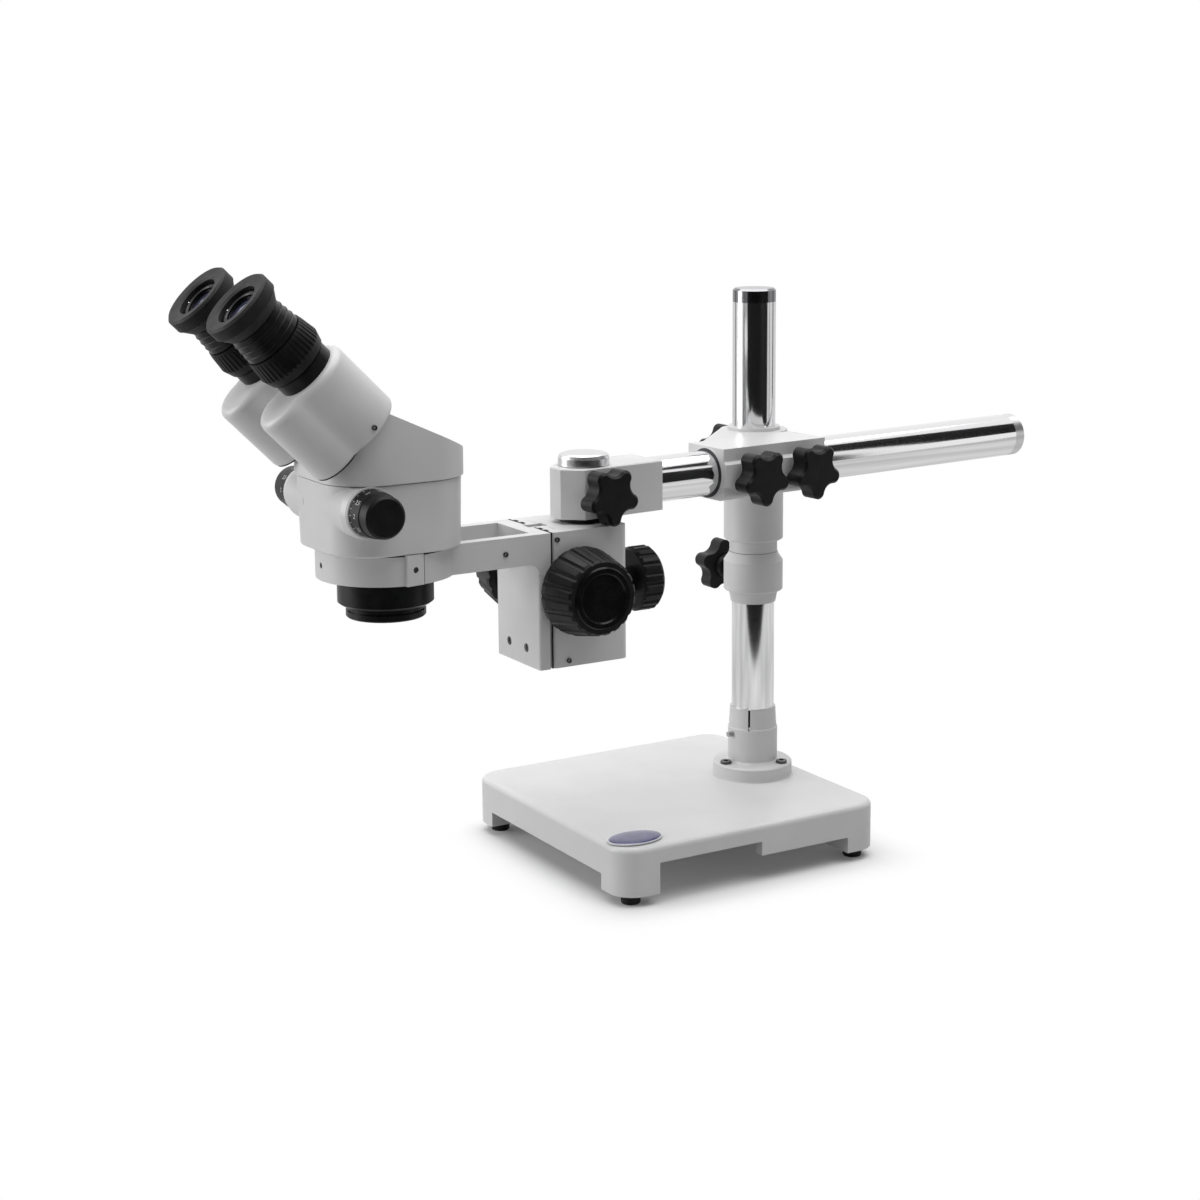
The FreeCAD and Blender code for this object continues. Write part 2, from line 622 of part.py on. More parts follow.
def clamp_casting():
    """Sleeve on the column, boss and cheek block in one casting, bored for column and boom."""
    low = CLAMP_BOTTOM
    sleeve = turned([
        (0, COLLAR_TOP + PART_GAP), (SLEEVE_NECK_R, COLLAR_TOP + PART_GAP), (SLEEVE_NECK_R, SLEEVE_NECK_TOP),
        (SLEEVE_R - 0.8, SLEEVE_NECK_TOP), (SLEEVE_R, SLEEVE_NECK_TOP + 0.8), (SLEEVE_R, low + 1), (0, low + 1),
    ], COLUMN)
    x0, x1 = BOOM_OFFSET - CLAMP_HALF_W, BOOM_OFFSET + CLAMP_HALF_W
    block = box(x0, x1, COLUMN_Y - CLAMP_FRONT_L, COLUMN_Y + CLAMP_REAR_L, low, CLAMP_TOP)
    block = block.makeFillet(CLAMP_EDGE, [
        e for e in edges_at_height(block, low) if abs(e.Vertexes[0].X - e.Vertexes[1].X) < 1e-6
    ])
    boss = rod(CLAMP_BOSS_R, COLUMN + Vec(0, 0, low), Vec(0, 0, 1), CLAMP_TOP - low - 2)
    reach = CLAMP_BOSS_R * 0.9
    web = box(0, x0 + 1, COLUMN_Y - reach, COLUMN_Y + CLAMP_REAR_L, low, CLAMP_TOP - 2)
    brace = Part.Face(Part.makePolygon([
        Vec(-CLAMP_BOSS_R * 0.7, COLUMN_Y - CLAMP_BOSS_R * 0.7, low),
        Vec(x0 + 1, COLUMN_Y - CLAMP_FRONT_L + CLAMP_EDGE * 2, low),
        Vec(x0 + 1, COLUMN_Y, low), Vec(0, COLUMN_Y, low),
        Vec(-CLAMP_BOSS_R * 0.7, COLUMN_Y - CLAMP_BOSS_R * 0.7, low),
    ])).extrude(Vec(0, 0, CLAMP_TOP - low - 2))
    ring = rod(CLAMP_RING_R, COLUMN + Vec(0, 0, CLAMP_TOP - 3), Vec(0, 0, 1), CLAMP_RING_H + 1)
    rib_low = BOOM_Z + CLAMP_RIB_LIFT - CLAMP_RIB_H / 2
    rib_out = x1 + CLAMP_RIB_OUT
    rib = box(
        x1 - CLAMP_EDGE, rib_out, COLUMN_Y - CLAMP_FRONT_L, COLUMN_Y + CLAMP_REAR_L, rib_low, rib_low + CLAMP_RIB_H
    )
    rib = rib.makeChamfer(CLAMP_RIB_EDGE, edges_where(
        rib, lambda p: abs(p.x - rib_out) < 1e-4 and abs(p.z - rib_low - CLAMP_RIB_H) < 1e-4
    ))
    body = plus(sleeve, block, boss, web, brace, ring, rib)
    cuts = [
        rod(FIT_R, COLUMN + Vec(0, 0, COLLAR_TOP - EXTRA), Vec(0, 0, 1), CLAMP_TOP),
        rod(FIT_R + BUSH_T, boom_point(-CLAMP_FRONT_L - EXTRA), Vec(0, 1, 0), BUSH_L + EXTRA),
        rod(FIT_R + BUSH_T, boom_point(CLAMP_REAR_L - BUSH_L), Vec(0, 1, 0), BUSH_L + EXTRA),
        rod(FIT_R, boom_point(-CLAMP_FRONT_L - EXTRA), Vec(0, 1, 0), CLAMP_FRONT_L + CLAMP_REAR_L + 2 * EXTRA),
        rod(STAR_STEM_R + RUN_FIT, COLUMN + Vec(-CLAMP_BOSS_R - EXTRA, 0, BOOM_Z - 4), Vec(1, 0, 0), CLAMP_BOSS_R),
    ]
    for at in clamp_knob_places():
        cuts.append(rod(STAR_STEM_R + RUN_FIT, at + Vec(EXTRA, 0, 0), Vec(-1, 0, 0), CLAMP_HALF_W))
    return swung(body.cut(cuts))


def boom_point(along):
    """A point on the boom's axis before the swing, behind the column by the given length."""
    return Vec(BOOM_OFFSET, COLUMN_Y + along, BOOM_Z)


def clamp_knob_places():
    """Where the two boom screws leave the rib, front one last."""
    x = BOOM_OFFSET + CLAMP_HALF_W + CLAMP_RIB_OUT
    return [
        Vec(x, COLUMN_Y - CLAMP_KNOB_FIRST - i * CLAMP_KNOB_PITCH, BOOM_Z - CLAMP_KNOB_DROP) for i in range(2)
    ]


def clamp_bushes():
    """Two plastic liners in the ends of the boom bore."""
    bushes = []
    for start in (-CLAMP_FRONT_L, CLAMP_REAR_L - BUSH_L):
        outer = rod(FIT_R + BUSH_T - RUN_FIT, boom_point(start), Vec(0, 1, 0), BUSH_L)
        bushes.append(outer.cut(rod(FIT_R, boom_point(start - 1), Vec(0, 1, 0), BUSH_L + 2)))
    return swung(Part.makeCompound(bushes))


def boom_lock_knob(at):
    """One of the two screws that lock the boom."""
    stem = CLAMP_HALF_W + CLAMP_RIB_OUT - TUBE_R - PART_GAP
    return swung(star_knob(at, Vec(1, 0, 0), stem, KNOB_STANDOFF, BOOM_KNOB_TURN))


def column_lock_knob():
    """Locks the clamp on the column."""
    stem = CLAMP_BOSS_R - TUBE_R - PART_GAP
    return swung(star_knob(COLUMN + Vec(-CLAMP_BOSS_R, 0, BOOM_Z - 4), Vec(-1, 0, 0), stem, KNOB_STANDOFF))


def boom_tube():
    """The horizontal tube, from its rear plug to inside the pivot block."""
    tube = chrome_tube(BOOM_REAR_L - PLUG_H + BOOM_FRONT_L)
    tube.Placement = FreeCAD.Placement(boom_point(-BOOM_FRONT_L), FreeCAD.Rotation(Vec(0, 0, 1), Vec(0, 1, 0)))
    return swung(tube)


def boom_cap():
    """The plug in the rear end of the boom."""
    plug = end_plug()
    plug.Placement = FreeCAD.Placement(
        boom_point(BOOM_REAR_L - PLUG_H), FreeCAD.Rotation(Vec(0, 0, 1), Vec(0, 1, 0))
    )
    return swung(plug)


def pivot_casting():
    """Block with a faceted nose, bored for the boom from behind and for the post through it."""
    hw = PIVOT_HALF_W
    nose = -PIVOT_NOSE
    outline = [
        Vec(-hw, BOOM_REACH_L - PIVOT_REAR_L, 0), Vec(-hw, nose + hw - PIVOT_NOSE_HALF, 0),
        Vec(-PIVOT_NOSE_HALF, nose, 0), Vec(PIVOT_NOSE_HALF, nose, 0),
        Vec(hw, nose + hw - PIVOT_NOSE_HALF, 0), Vec(hw, BOOM_REACH_L - PIVOT_REAR_L, 0),
    ]
    body = Part.Face(Part.makePolygon(outline + outline[:1])).extrude(Vec(0, 0, PIVOT_TOP - PIVOT_BOTTOM))
    body.translate(Vec(BOOM_OFFSET, COLUMN_Y - BOOM_REACH_L, PIVOT_BOTTOM))
    body = body.makeChamfer(0.8, edges_at_height(body, PIVOT_TOP))
    cuts = [
        rod(FIT_R, boom_point(-BOOM_FRONT_L - PART_GAP), Vec(0, 1, 0), BOOM_FRONT_L - PIVOT_REAR_L + EXTRA),
        rod(POST_R + RUN_FIT, pivot_point(PIVOT_BOTTOM - EXTRA), Vec(0, 0, 1), PIVOT_TOP),
        rod(STAR_STEM_R + RUN_FIT, pivot_knob_place() + Vec(EXTRA, 0, 0), Vec(-1, 0, 0), PIVOT_HALF_W + EXTRA),
    ]
    return swung(body.cut(cuts))


def pivot_point(z):
    """A point on the post's axis before the swing."""
    return Vec(BOOM_OFFSET, COLUMN_Y - BOOM_REACH_L, z)


def pivot_knob_place():
    """Where the post's locking screw leaves the block."""
    return pivot_point(BOOM_Z - CLAMP_KNOB_DROP) + Vec(PIVOT_HALF_W, 0, 0)


def pivot_lock_knob():
    """Locks the post's swivel."""
    stem = PIVOT_HALF_W - POST_R - PART_GAP
    return swung(star_knob(pivot_knob_place(), Vec(1, 0, 0), stem, KNOB_STANDOFF, PIVOT_KNOB_TURN))


def thrust_washer():
    """Black washer between the pivot block and the focus block."""
    washer = rod(WASHER_R, pivot_point(PIVOT_BOTTOM - WASHER_T), Vec(0, 0, 1), WASHER_T)
    return swung(washer.cut(rod(POST_R + RUN_FIT, pivot_point(PIVOT_BOTTOM - EXTRA), Vec(0, 0, 1), EXTRA * 2)))


def post_shaft():
    """The post, hanging from its cap through the pivot block into the focus block."""
    return at_post(rod(POST_R, Vec(0, 0, POST_FOOT), Vec(0, 0, 1), PIVOT_TOP + PART_GAP + 4 - POST_FOOT))


def post_cap():
    """Chromed cap that rests on the pivot block."""
    low = PIVOT_TOP + PART_GAP
    high = low + POST_CAP_H
    k = POST_CAP_ROUND * 0.3
    body = turned([
        (0, low + 4.0), (POST_R + RUN_FIT, low + 4.0), (POST_R + RUN_FIT, low), (POST_CAP_R, low),
        (POST_CAP_R, high - POST_CAP_ROUND), (POST_CAP_R - k, high - k), (POST_CAP_R - POST_CAP_ROUND, high),
        (0, high),
    ])
    return at_post(body)


def slide_outline(widen, deepen):
    """Dovetail section on the focus block's front face, as a closed list of corners."""
    flare = SLIDE_DEPTH / math.tan(math.radians(SLIDE_ANGLE))
    half = SLIDE_MOUTH + widen
    back = BLOCK_FRONT + SLIDE_DEPTH + deepen
    return [
        Vec(-half, BLOCK_FRONT - EXTRA, 0), Vec(-half, BLOCK_FRONT, 0), Vec(-half - flare, back, 0),
        Vec(half + flare, back, 0), Vec(half, BLOCK_FRONT, 0), Vec(half, BLOCK_FRONT - EXTRA, 0),
        Vec(-half, BLOCK_FRONT - EXTRA, 0),
    ]


def focus_housing():
    """Fixed block of the focus mount: post bore, dovetail way, rack slot and pinion bore."""
    body = rounded_block(
        -BLOCK_HALF_W, BLOCK_HALF_W, BLOCK_FRONT, BLOCK_REAR, BLOCK_BOTTOM, BLOCK_TOP, BLOCK_CORNER
    )
    way = Part.Face(Part.makePolygon(slide_outline(SLIDE_FIT, SLIDE_FIT)))
    way = way.extrude(Vec(0, 0, BLOCK_TOP - BLOCK_BOTTOM + 2 * EXTRA))
    way.translate(Vec(0, 0, BLOCK_BOTTOM - EXTRA))
    tip = PINION_PITCH_R + GEAR_MODULE + PART_GAP
    slot = box(
        -RACK_HALF_W - 1, RACK_HALF_W + 1, BLOCK_FRONT, RACK_PITCH_Y + GEAR_MODULE + PART_GAP,
        BLOCK_BOTTOM - EXTRA, BLOCK_TOP + EXTRA
    )
    cuts = [
        way,
        slot,
        rod(POST_R + RUN_FIT, Vec(0, 0, BLOCK_BOTTOM - EXTRA), Vec(0, 0, 1), BLOCK_TOP),
        rod(tip, Vec(-PINION_X_HALF - 1, PINION_Y, PINION_Z), Vec(1, 0, 0), 2 * PINION_X_HALF + 2),
        rod(SHAFT_R + 1, Vec(-BLOCK_HALF_W - 1, PINION_Y, PINION_Z), Vec(1, 0, 0), 2 * BLOCK_HALF_W + 2),
        rod(STAR_STEM_R + RUN_FIT, Vec(0, POST_R - 1, LOCK_KNOB_Z), Vec(0, 1, 0), BLOCK_REAR),
    ]
    for side in (-1, 1):
        start = Vec(side * (BLOCK_HALF_W - BUSHING_L), PINION_Y, PINION_Z)
        cuts.append(rod(BUSHING_R, start, Vec(side, 0, 0), BUSHING_L + 1))
    return at_post(body.cut(cuts))


def pinion_bushes():
    """Two bearings for the pinion shaft."""
    bushes = []
    for side in (-1, 1):
        start = Vec(side * (BLOCK_HALF_W - BUSHING_L), PINION_Y, PINION_Z)
        outer = rod(BUSHING_R - RUN_FIT, start, Vec(side, 0, 0), BUSHING_L)
        bushes.append(outer.cut(rod(SHAFT_R + RUN_FIT, start, Vec(side, 0, 0), BUSHING_L)))
    return at_post(Part.makeCompound(bushes))


def rack_tooth_shape():
    """Half widths of a rack tooth at its tip and root."""
    lean = math.tan(math.radians(PRESSURE_ANGLE))
    middle = math.pi * GEAR_MODULE / 4 - GEAR_PLAY_W / 2
    return middle - GEAR_MODULE * lean, middle + 1.25 * GEAR_MODULE * lean


def rack_outline():
    """Rack profile in the YZ plane; a tooth gap faces the pinion at its height."""
    tip_half, root_half = rack_tooth_shape()
    pitch = math.pi * GEAR_MODULE
    count = int((BLOCK_TOP - BLOCK_BOTTOM) / pitch) - 1
    start = PINION_Z - pitch / 2 - pitch * math.floor((PINION_Z - pitch / 2 - BLOCK_BOTTOM - 3) / pitch)
    tip_y = RACK_PITCH_Y + GEAR_MODULE
    root_y = RACK_PITCH_Y - 1.25 * GEAR_MODULE
    points = [Vec(0, CARRIAGE_BACK - 2, start - pitch / 2), Vec(0, root_y, start - pitch / 2)]
    for i in range(count):
        z = start + i * pitch
        points += [
            Vec(0, root_y, z - root_half), Vec(0, tip_y, z - tip_half),
            Vec(0, tip_y, z + tip_half), Vec(0, root_y, z + root_half),
        ]
    end = start + (count - 0.5) * pitch
    return points + [Vec(0, root_y, end), Vec(0, CARRIAGE_BACK - 2, end)]


def focus_rack():
    """Steel rack let into the carriage."""
    outline = rack_outline()
    face = Part.Face(Part.makePolygon(outline + outline[:1]))
    rack = face.extrude(Vec(2 * RACK_HALF_W, 0, 0))
    rack.translate(Vec(-RACK_HALF_W, 0, 0))
    return at_post(rack)


def pinion_gear():
    """Spur pinion with straight-flanked teeth, one tooth pointing at the rack."""
    pitch_half = math.degrees((math.pi * GEAR_MODULE / 4 - GEAR_PLAY_W / 2) / PINION_PITCH_R)
    root_r = PINION_PITCH_R - 1.25 * GEAR_MODULE
    tip_r = PINION_PITCH_R + GEAR_MODULE
    points = []
    for i in range(PINION_TEETH):
        middle = 360.0 * i / PINION_TEETH
        points += [
            polar(root_r, middle - pitch_half * 1.7), polar(PINION_PITCH_R, middle - pitch_half),
            polar(tip_r, middle - pitch_half * 0.45), polar(tip_r, middle + pitch_half * 0.45),
            polar(PINION_PITCH_R, middle + pitch_half), polar(root_r, middle + pitch_half * 1.7),
        ]
    gear = Part.Face(Part.makePolygon(points + points[:1])).extrude(Vec(0, 0, 2 * PINION_X_HALF))
    gear.translate(Vec(0, 0, -PINION_X_HALF))
    return gear


def focus_axis(shape):
    """Lay a shape drawn along Z on the focus shaft, Z towards +X."""
    shape.Placement = FreeCAD.Placement(
        Vec(0, PINION_Y, PINION_Z), FreeCAD.Rotation(Vec(0, 0, 1), 90) * FreeCAD.Rotation(Vec(1, 0, 0), 90)
    ).multiply(shape.Placement)
    return at_post(shape)


def pinion_shaft():
    """Shaft through both knobs with the pinion in its middle."""
    end = BLOCK_HALF_W + FOCUS_HUB_L + FOCUS_KNOB_L - 6
    shaft = rod(SHAFT_R, Vec(0, 0, -end), Vec(0, 0, 1), 2 * end)
    return focus_axis(plus(pinion_gear(), shaft))


def fluted(body, count, radius, large_r, small_r, start, length):
    """Cut round flutes down a tapered grip that is drawn along Z."""
    lean = math.degrees(math.atan2(large_r - small_r, length))
    flutes = []
    for i in range(count):
        groove = rod(radius, Vec(0, 0, -EXTRA), Vec(0, 0, 1), length + 2 * EXTRA)
        groove.rotate(Vec(0, 0, 0), Vec(0, 1, 0), -lean)
        groove.translate(Vec(large_r + radius * 0.45, 0, start))
        groove.rotate(Vec(0, 0, 0), Vec(0, 0, 1), 360.0 * i / count)
        flutes.append(groove)
    return body.cut(flutes)


def focus_knob(side):
    """Large tapered grip with flutes, hub towards the block and a dished face."""
    hub_end = FOCUS_HUB_L
    end = hub_end + FOCUS_KNOB_L
    grip = turned([
        (SHAFT_R + RUN_FIT, PART_GAP), (FOCUS_HUB_R, PART_GAP), (FOCUS_HUB_R, hub_end),
        (FOCUS_KNOB_R - 3, hub_end), (FOCUS_KNOB_R, hub_end + 3), (FOCUS_KNOB_R, hub_end + 7),
        (FOCUS_KNOB_FACE_R + 1, end - 1.5), (FOCUS_KNOB_FACE_R - 0.5, end),
        (FOCUS_CAP_R + RUN_FIT, end), (FOCUS_CAP_R + RUN_FIT, end - 2.5),
        (SHAFT_R + RUN_FIT, end - 2.5),
    ])
    grip = fluted(
        grip, FOCUS_FLUTES, FOCUS_FLUTE_R, FOCUS_KNOB_R, FOCUS_KNOB_FACE_R + 1, hub_end + 6, FOCUS_KNOB_L - 8
    )
    grip.translate(Vec(0, 0, BLOCK_HALF_W))
    if side < 0:
        grip.rotate(Vec(0, 0, 0), Vec(0, 1, 0), 180)
    return focus_axis(grip)


def focus_knob_cap(side):
    """Glossy round cap pressed into the knob's face."""
    end = BLOCK_HALF_W + FOCUS_HUB_L + FOCUS_KNOB_L
    low = end - 2.5
    cap = turned([
        (0, low), (FOCUS_CAP_R, low), (FOCUS_CAP_R, end + FOCUS_CAP_H - 1), (FOCUS_CAP_R - 1, end + FOCUS_CAP_H),
        (FOCUS_CAP_R - 4, end + FOCUS_CAP_H), (FOCUS_CAP_R - 5, end + FOCUS_CAP_H - 1), (0, end + FOCUS_CAP_H - 1),
    ])
    if side < 0:
        cap.rotate(Vec(0, 0, 0), Vec(0, 1, 0), 180)
    return focus_axis(cap)


def post_lock_knob():
    """Round fluted knob behind the block that clamps it on the post."""
    stem = BLOCK_REAR - POST_R - PART_GAP
    grip = turned([
        (0, -stem), (STAR_STEM_R, -stem), (STAR_STEM_R, LOCK_KNOB_OUT - 5), (STAR_HUB_R, LOCK_KNOB_OUT - 5),
        (STAR_HUB_R, LOCK_KNOB_OUT), (LOCK_KNOB_R - 2, LOCK_KNOB_OUT), (LOCK_KNOB_R, LOCK_KNOB_OUT + 2),
        (LOCK_KNOB_R, LOCK_KNOB_OUT + LOCK_KNOB_L - 3), (LOCK_KNOB_R - 3, LOCK_KNOB_OUT + LOCK_KNOB_L),
        (0, LOCK_KNOB_OUT + LOCK_KNOB_L),
    ])
    grip = fluted(
        grip, LOCK_FLUTES, FOCUS_FLUTE_R, LOCK_KNOB_R, LOCK_KNOB_R, LOCK_KNOB_OUT, LOCK_KNOB_L
    )
    grip.Placement = FreeCAD.Placement(Vec(0, BLOCK_REAR, LOCK_KNOB_Z), FreeCAD.Rotation(Vec(0, 0, 1), Vec(0, 1, 0)))
    return at_post(grip)


def carriage_plate():
    """Moving plate with the male dovetail on its back, grooved for the rack."""
    plate = rounded_block(
        -BLOCK_HALF_W, BLOCK_HALF_W, CARRIAGE_FACE, CARRIAGE_BACK, BLOCK_BOTTOM, ARM_ROOT, 2.0
    )
    upper = box(-BLOCK_HALF_W + ARM_T, BLOCK_HALF_W - ARM_T, CARRIAGE_FACE, CARRIAGE_BACK, ARM_ROOT - 1, ARM_TOP)
    corners = slide_outline(0, 0)
    tail = Part.Face(Part.makePolygon(corners)).extrude(Vec(0, 0, BLOCK_TOP - BLOCK_BOTTOM))
    tail.translate(Vec(0, 0, BLOCK_BOTTOM))
    body = plus(plate, upper, tail)
    groove = box(
        -RACK_HALF_W - RUN_FIT, RACK_HALF_W + RUN_FIT, CARRIAGE_BACK - 2, BLOCK_FRONT + SLIDE_DEPTH + 1,
        BLOCK_BOTTOM - EXTRA, BLOCK_TOP + EXTRA
    )
    cuts = [groove]
    for p in carriage_screw_places():
        cuts.append(rod(RACK_SCREW_R + RUN_FIT, p - Vec(0, 1, 0), Vec(0, 1, 0), RACK_SCREW_SUNK + RACK_SCREW_T + 1))
    return at_post(body.cut(cuts))


def carriage_screw_places():
    """Two rack screws low on the carriage's face."""
    return [Vec(x, CARRIAGE_FACE, BLOCK_BOTTOM + RACK_SCREW_Z) for x in RACK_SCREW_X]


def carriage_screws():
    """Grub screws sunk in the carriage's face."""
    screws = []
    for p in carriage_screw_places():
        screws.append(rod(RACK_SCREW_R, p + Vec(0, RACK_SCREW_SUNK, 0), Vec(0, 1, 0), RACK_SCREW_T))
    return at_post(Part.makeCompound(screws))


def ring_fork():
    """Two arms on the carriage's sides, running forward into the split ring."""
    rear = CARRIAGE_BACK
    centre = -RING_AHEAD
    inner = BLOCK_HALF_W - ARM_T
    solids = []
    for side in (-1, 1):
        profile = [
            Vec(side * inner, rear, ARM_ROOT), Vec(side * inner, rear, ARM_TOP),
            Vec(side * inner, centre + RING_BORE_R * 0.6, ARM_TOP),
            Vec(side * inner, centre + RING_BORE_R * 0.6, ARM_BOTTOM),
            Vec(side * inner, CARRIAGE_FACE, ARM_BOTTOM), Vec(side * inner, CARRIAGE_FACE, ARM_ROOT),
        ]
        arm = Part.Face(Part.makePolygon(profile + profile[:1])).extrude(Vec(side * ARM_T, 0, 0))
        solids.append(arm.makeFillet(ARM_BLEND_R, edges_where(
            arm, lambda p: abs(p.y - CARRIAGE_FACE) < 1e-4 and abs(p.z - ARM_BOTTOM) < 1e-4
        )))
    tie = box(-inner - 1, inner + 1, CARRIAGE_FACE - 3, CARRIAGE_FACE, ARM_BOTTOM + 4, ARM_TOP)
    ring = rod(RING_R, Vec(0, centre, ARM_BOTTOM), Vec(0, 0, 1), ARM_TOP - ARM_BOTTOM)
    body = plus(ring, tie, *solids)
    pad = ring_pad_block()
    body = plus(body, pad)
    slit = box(0, RING_R + EXTRA, centre - RING_SLIT / 2, centre + RING_SLIT / 2, ARM_BOTTOM - 1, ARM_TOP + 1)
    slit.rotate(Vec(0, centre, 0), Vec(0, 0, 1), PAD_TURN)
    cuts = [rod(RING_BORE_R, Vec(0, centre, ARM_BOTTOM - EXTRA), Vec(0, 0, 1), ARM_TOP), slit]
    for at, axis in ring_screw_places():
        cuts.append(rod(ARM_SCREW_R + RUN_FIT, at + axis * EXTRA, axis * -1, EXTRA + 5.0))
    return at_post(body.cut(cuts))


def ring_pad_block():
    """Flat pad beside the slit that carries the clamp screw."""
    depth = RING_R * math.sin(math.radians(PAD_SWEEP))
    pad = box(RING_BORE_R + 2, RING_R + PAD_OUT, -RING_AHEAD - depth, -RING_AHEAD, ARM_BOTTOM, ARM_TOP)
    pad.rotate(Vec(0, -RING_AHEAD, 0), Vec(0, 0, 1), PAD_TURN)
    return pad


def ring_screw_places():
    """Clamp screw on the pad and retaining screw at the front: point and outward axis."""
    middle = (ARM_TOP + ARM_BOTTOM) / 2
    outward = polar(1.0, PAD_TURN)
    along = polar(1.0, PAD_TURN - 90.0)
    pad = outward * (RING_R + PAD_OUT) + along * (RING_R * math.sin(math.radians(PAD_SWEEP)) / 2)
    return [
        (pad + Vec(0, -RING_AHEAD, middle), outward),
        (Vec(0, -RING_AHEAD - RING_R, middle), Vec(0, -1, 0)),
    ]


def ring_screws():
    """Grub screws in the ring, just below its surface."""
    screws = []
    for at, axis in ring_screw_places():
        screws.append(rod(ARM_SCREW_R, at - axis * 0.8, axis * -1, 4.0))
    return at_post(Part.makeCompound(screws))


def head_outline(half_w, front, rear, corner, z):
    """Plan of the head at one height."""
    return rounded_outline(-half_w, half_w, -front, rear, corner, z)


def zoom_body():
    """Lower casting of the head, with a cone round each zoom knob."""
    draft = HEAD_DRAFT
    body = Part.makeLoft([
        head_outline(HEAD_HALF_W - draft, HEAD_FRONT - draft, HEAD_REAR - draft, HEAD_CORNER - draft, HEAD_BOTTOM),
        head_outline(HEAD_HALF_W, HEAD_FRONT, HEAD_REAR, HEAD_CORNER, HEAD_SEAM - SEAM_H),
    ], True)
    body = body.makeFillet(HEAD_FOOT_R, edges_at_height(body, HEAD_BOTTOM))
    inner = SEAM_DEPTH
    seat = Part.Face(head_outline(
        HEAD_HALF_W - inner, HEAD_FRONT - inner, HEAD_REAR - inner, HEAD_CORNER - inner, HEAD_SEAM - SEAM_H - 1
    )).extrude(Vec(0, 0, SEAM_H + 1))
    bosses = []
    for side in (-1, 1):
        straight_end = ZOOM_BOSS_X - ZOOM_BOSS_EDGE_L
        start = Vec(side * ZOOM_BOSS_ROOT_X, -ZOOM_AHEAD, ZOOM_Z)
        bosses.append(rod(ZOOM_BOSS_ROOT_R, start, Vec(side, 0, 0), straight_end - ZOOM_BOSS_ROOT_X))
        edge = Vec(side * straight_end, -ZOOM_AHEAD, ZOOM_Z)
        bosses.append(Part.makeCone(ZOOM_BOSS_ROOT_R, ZOOM_BOSS_R, ZOOM_BOSS_EDGE_L, edge, Vec(side, 0, 0)))
    limit = box(-ZOOM_BOSS_X, ZOOM_BOSS_X, -HEAD_FRONT, HEAD_REAR, HEAD_BOTTOM + 1, HEAD_SEAM - SEAM_H)
    body = plus(body, seat, *[b.common(limit) for b in bosses])
    reach = ZOOM_BOSS_X + EXTRA
    bore = rod(ZOOM_SHAFT_R + RUN_FIT, Vec(-reach, -ZOOM_AHEAD, ZOOM_Z), Vec(1, 0, 0), 2 * reach)
    return at_ring(body.cut(bore))


def cover_plane_point():
    """A point (y, z) of the cover's tilted front plane, just behind the prism housings."""
    tilt = math.radians(EYE_TILT)
    back = PRISM_L + PRISM_GAP
    y = -EYE_END_AHEAD + back * math.sin(tilt)
    z = EYE_END_Z - back * math.cos(tilt)
    return y, z


def head_cover():
    """Upper casting: sloping back, ridge and the tilted face that carries the prism housings."""
    y0, z0 = cover_plane_point()
    lean = math.tan(math.radians(EYE_TILT))
    front = HEAD_FRONT + COVER_OVERHANG
    rear = HEAD_REAR + COVER_OVERHANG
    wide = 2 * HEAD_HALF_W
    ridge_y = y0 + (COVER_RIDGE_Z - z0) / lean
    front_z = z0 + (-front - y0) * lean
    corners = [
        Vec(-wide, rear + 1, HEAD_SEAM), Vec(-wide, rear + 1, COVER_REAR_Z - 1), Vec(-wide, ridge_y, COVER_RIDGE_Z),
        Vec(-wide, -front - 1, front_z - lean), Vec(-wide, -front - 1, HEAD_SEAM),
    ]
    wedge = Part.Face(Part.makePolygon(corners + corners[:1])).extrude(Vec(2 * wide, 0, 0))
    outline = head_outline(HEAD_HALF_W + COVER_OVERHANG, front, rear, HEAD_CORNER, HEAD_SEAM)
    body = Part.Face(outline).extrude(Vec(0, 0, COVER_RIDGE_Z - HEAD_SEAM + 1)).common(wedge)
    pins = []
    for side in (-1, 1):
        pins.append(eye_frame(rod(PRISM_PIN_R + RUN_FIT, Vec(0, -PRISM_LEVER, -PRISM_L - PRISM_PIN_L),
                                  Vec(0, 0, 1), PRISM_PIN_L + 1), side))
    return at_ring(body.cut(pins))


def eye_frame(shape, side):
    """Place a shape drawn on the eye axis; its local origin is the housing's end face."""
    shape.Placement = FreeCAD.Placement(
        Vec(side * EYE_SPACING / 2, -EYE_END_AHEAD, EYE_END_Z), FreeCAD.Rotation(Vec(1, 0, 0), EYE_TILT)
    ).multiply(shape.Placement)
    return shape


def teardrop(z):
    """Pear outline: a circle round the eyepiece and a lobe below it, joined by hollow arcs."""
    r1, r2, lever, waist = PRISM_R, PRISM_LOBE_R, PRISM_LOBE_DOWN, PRISM_WAIST_R
    dip = ((r2 - r1) * (r1 + r2 + 2 * waist) - lever * lever) / (2 * lever)
    low = Vec(0, -lever, z)
    top = Vec(0, 0, z)
    hollows = []
    for side in (1, -1):
        centre = Vec(side * math.sqrt((r1 + waist) ** 2 - dip ** 2), dip, z)
        start = top + (centre - top) * (r1 / (r1 + waist))
        end = low + (centre - low) * (r2 / (r2 + waist))
        middle = centre + ((start + end) * 0.5 - centre).normalize() * waist
        hollows.append((start, middle, end))
    right, left = hollows
    return Part.Wire([
        Part.Arc(right[0], top + Vec(0, r1, 0), left[0]).toShape(),
        Part.Arc(*left).toShape(),
        Part.Arc(left[2], low - Vec(0, r2, 0), right[2]).toShape(),
        Part.Arc(right[2], right[1], right[0]).toShape(),
    ])


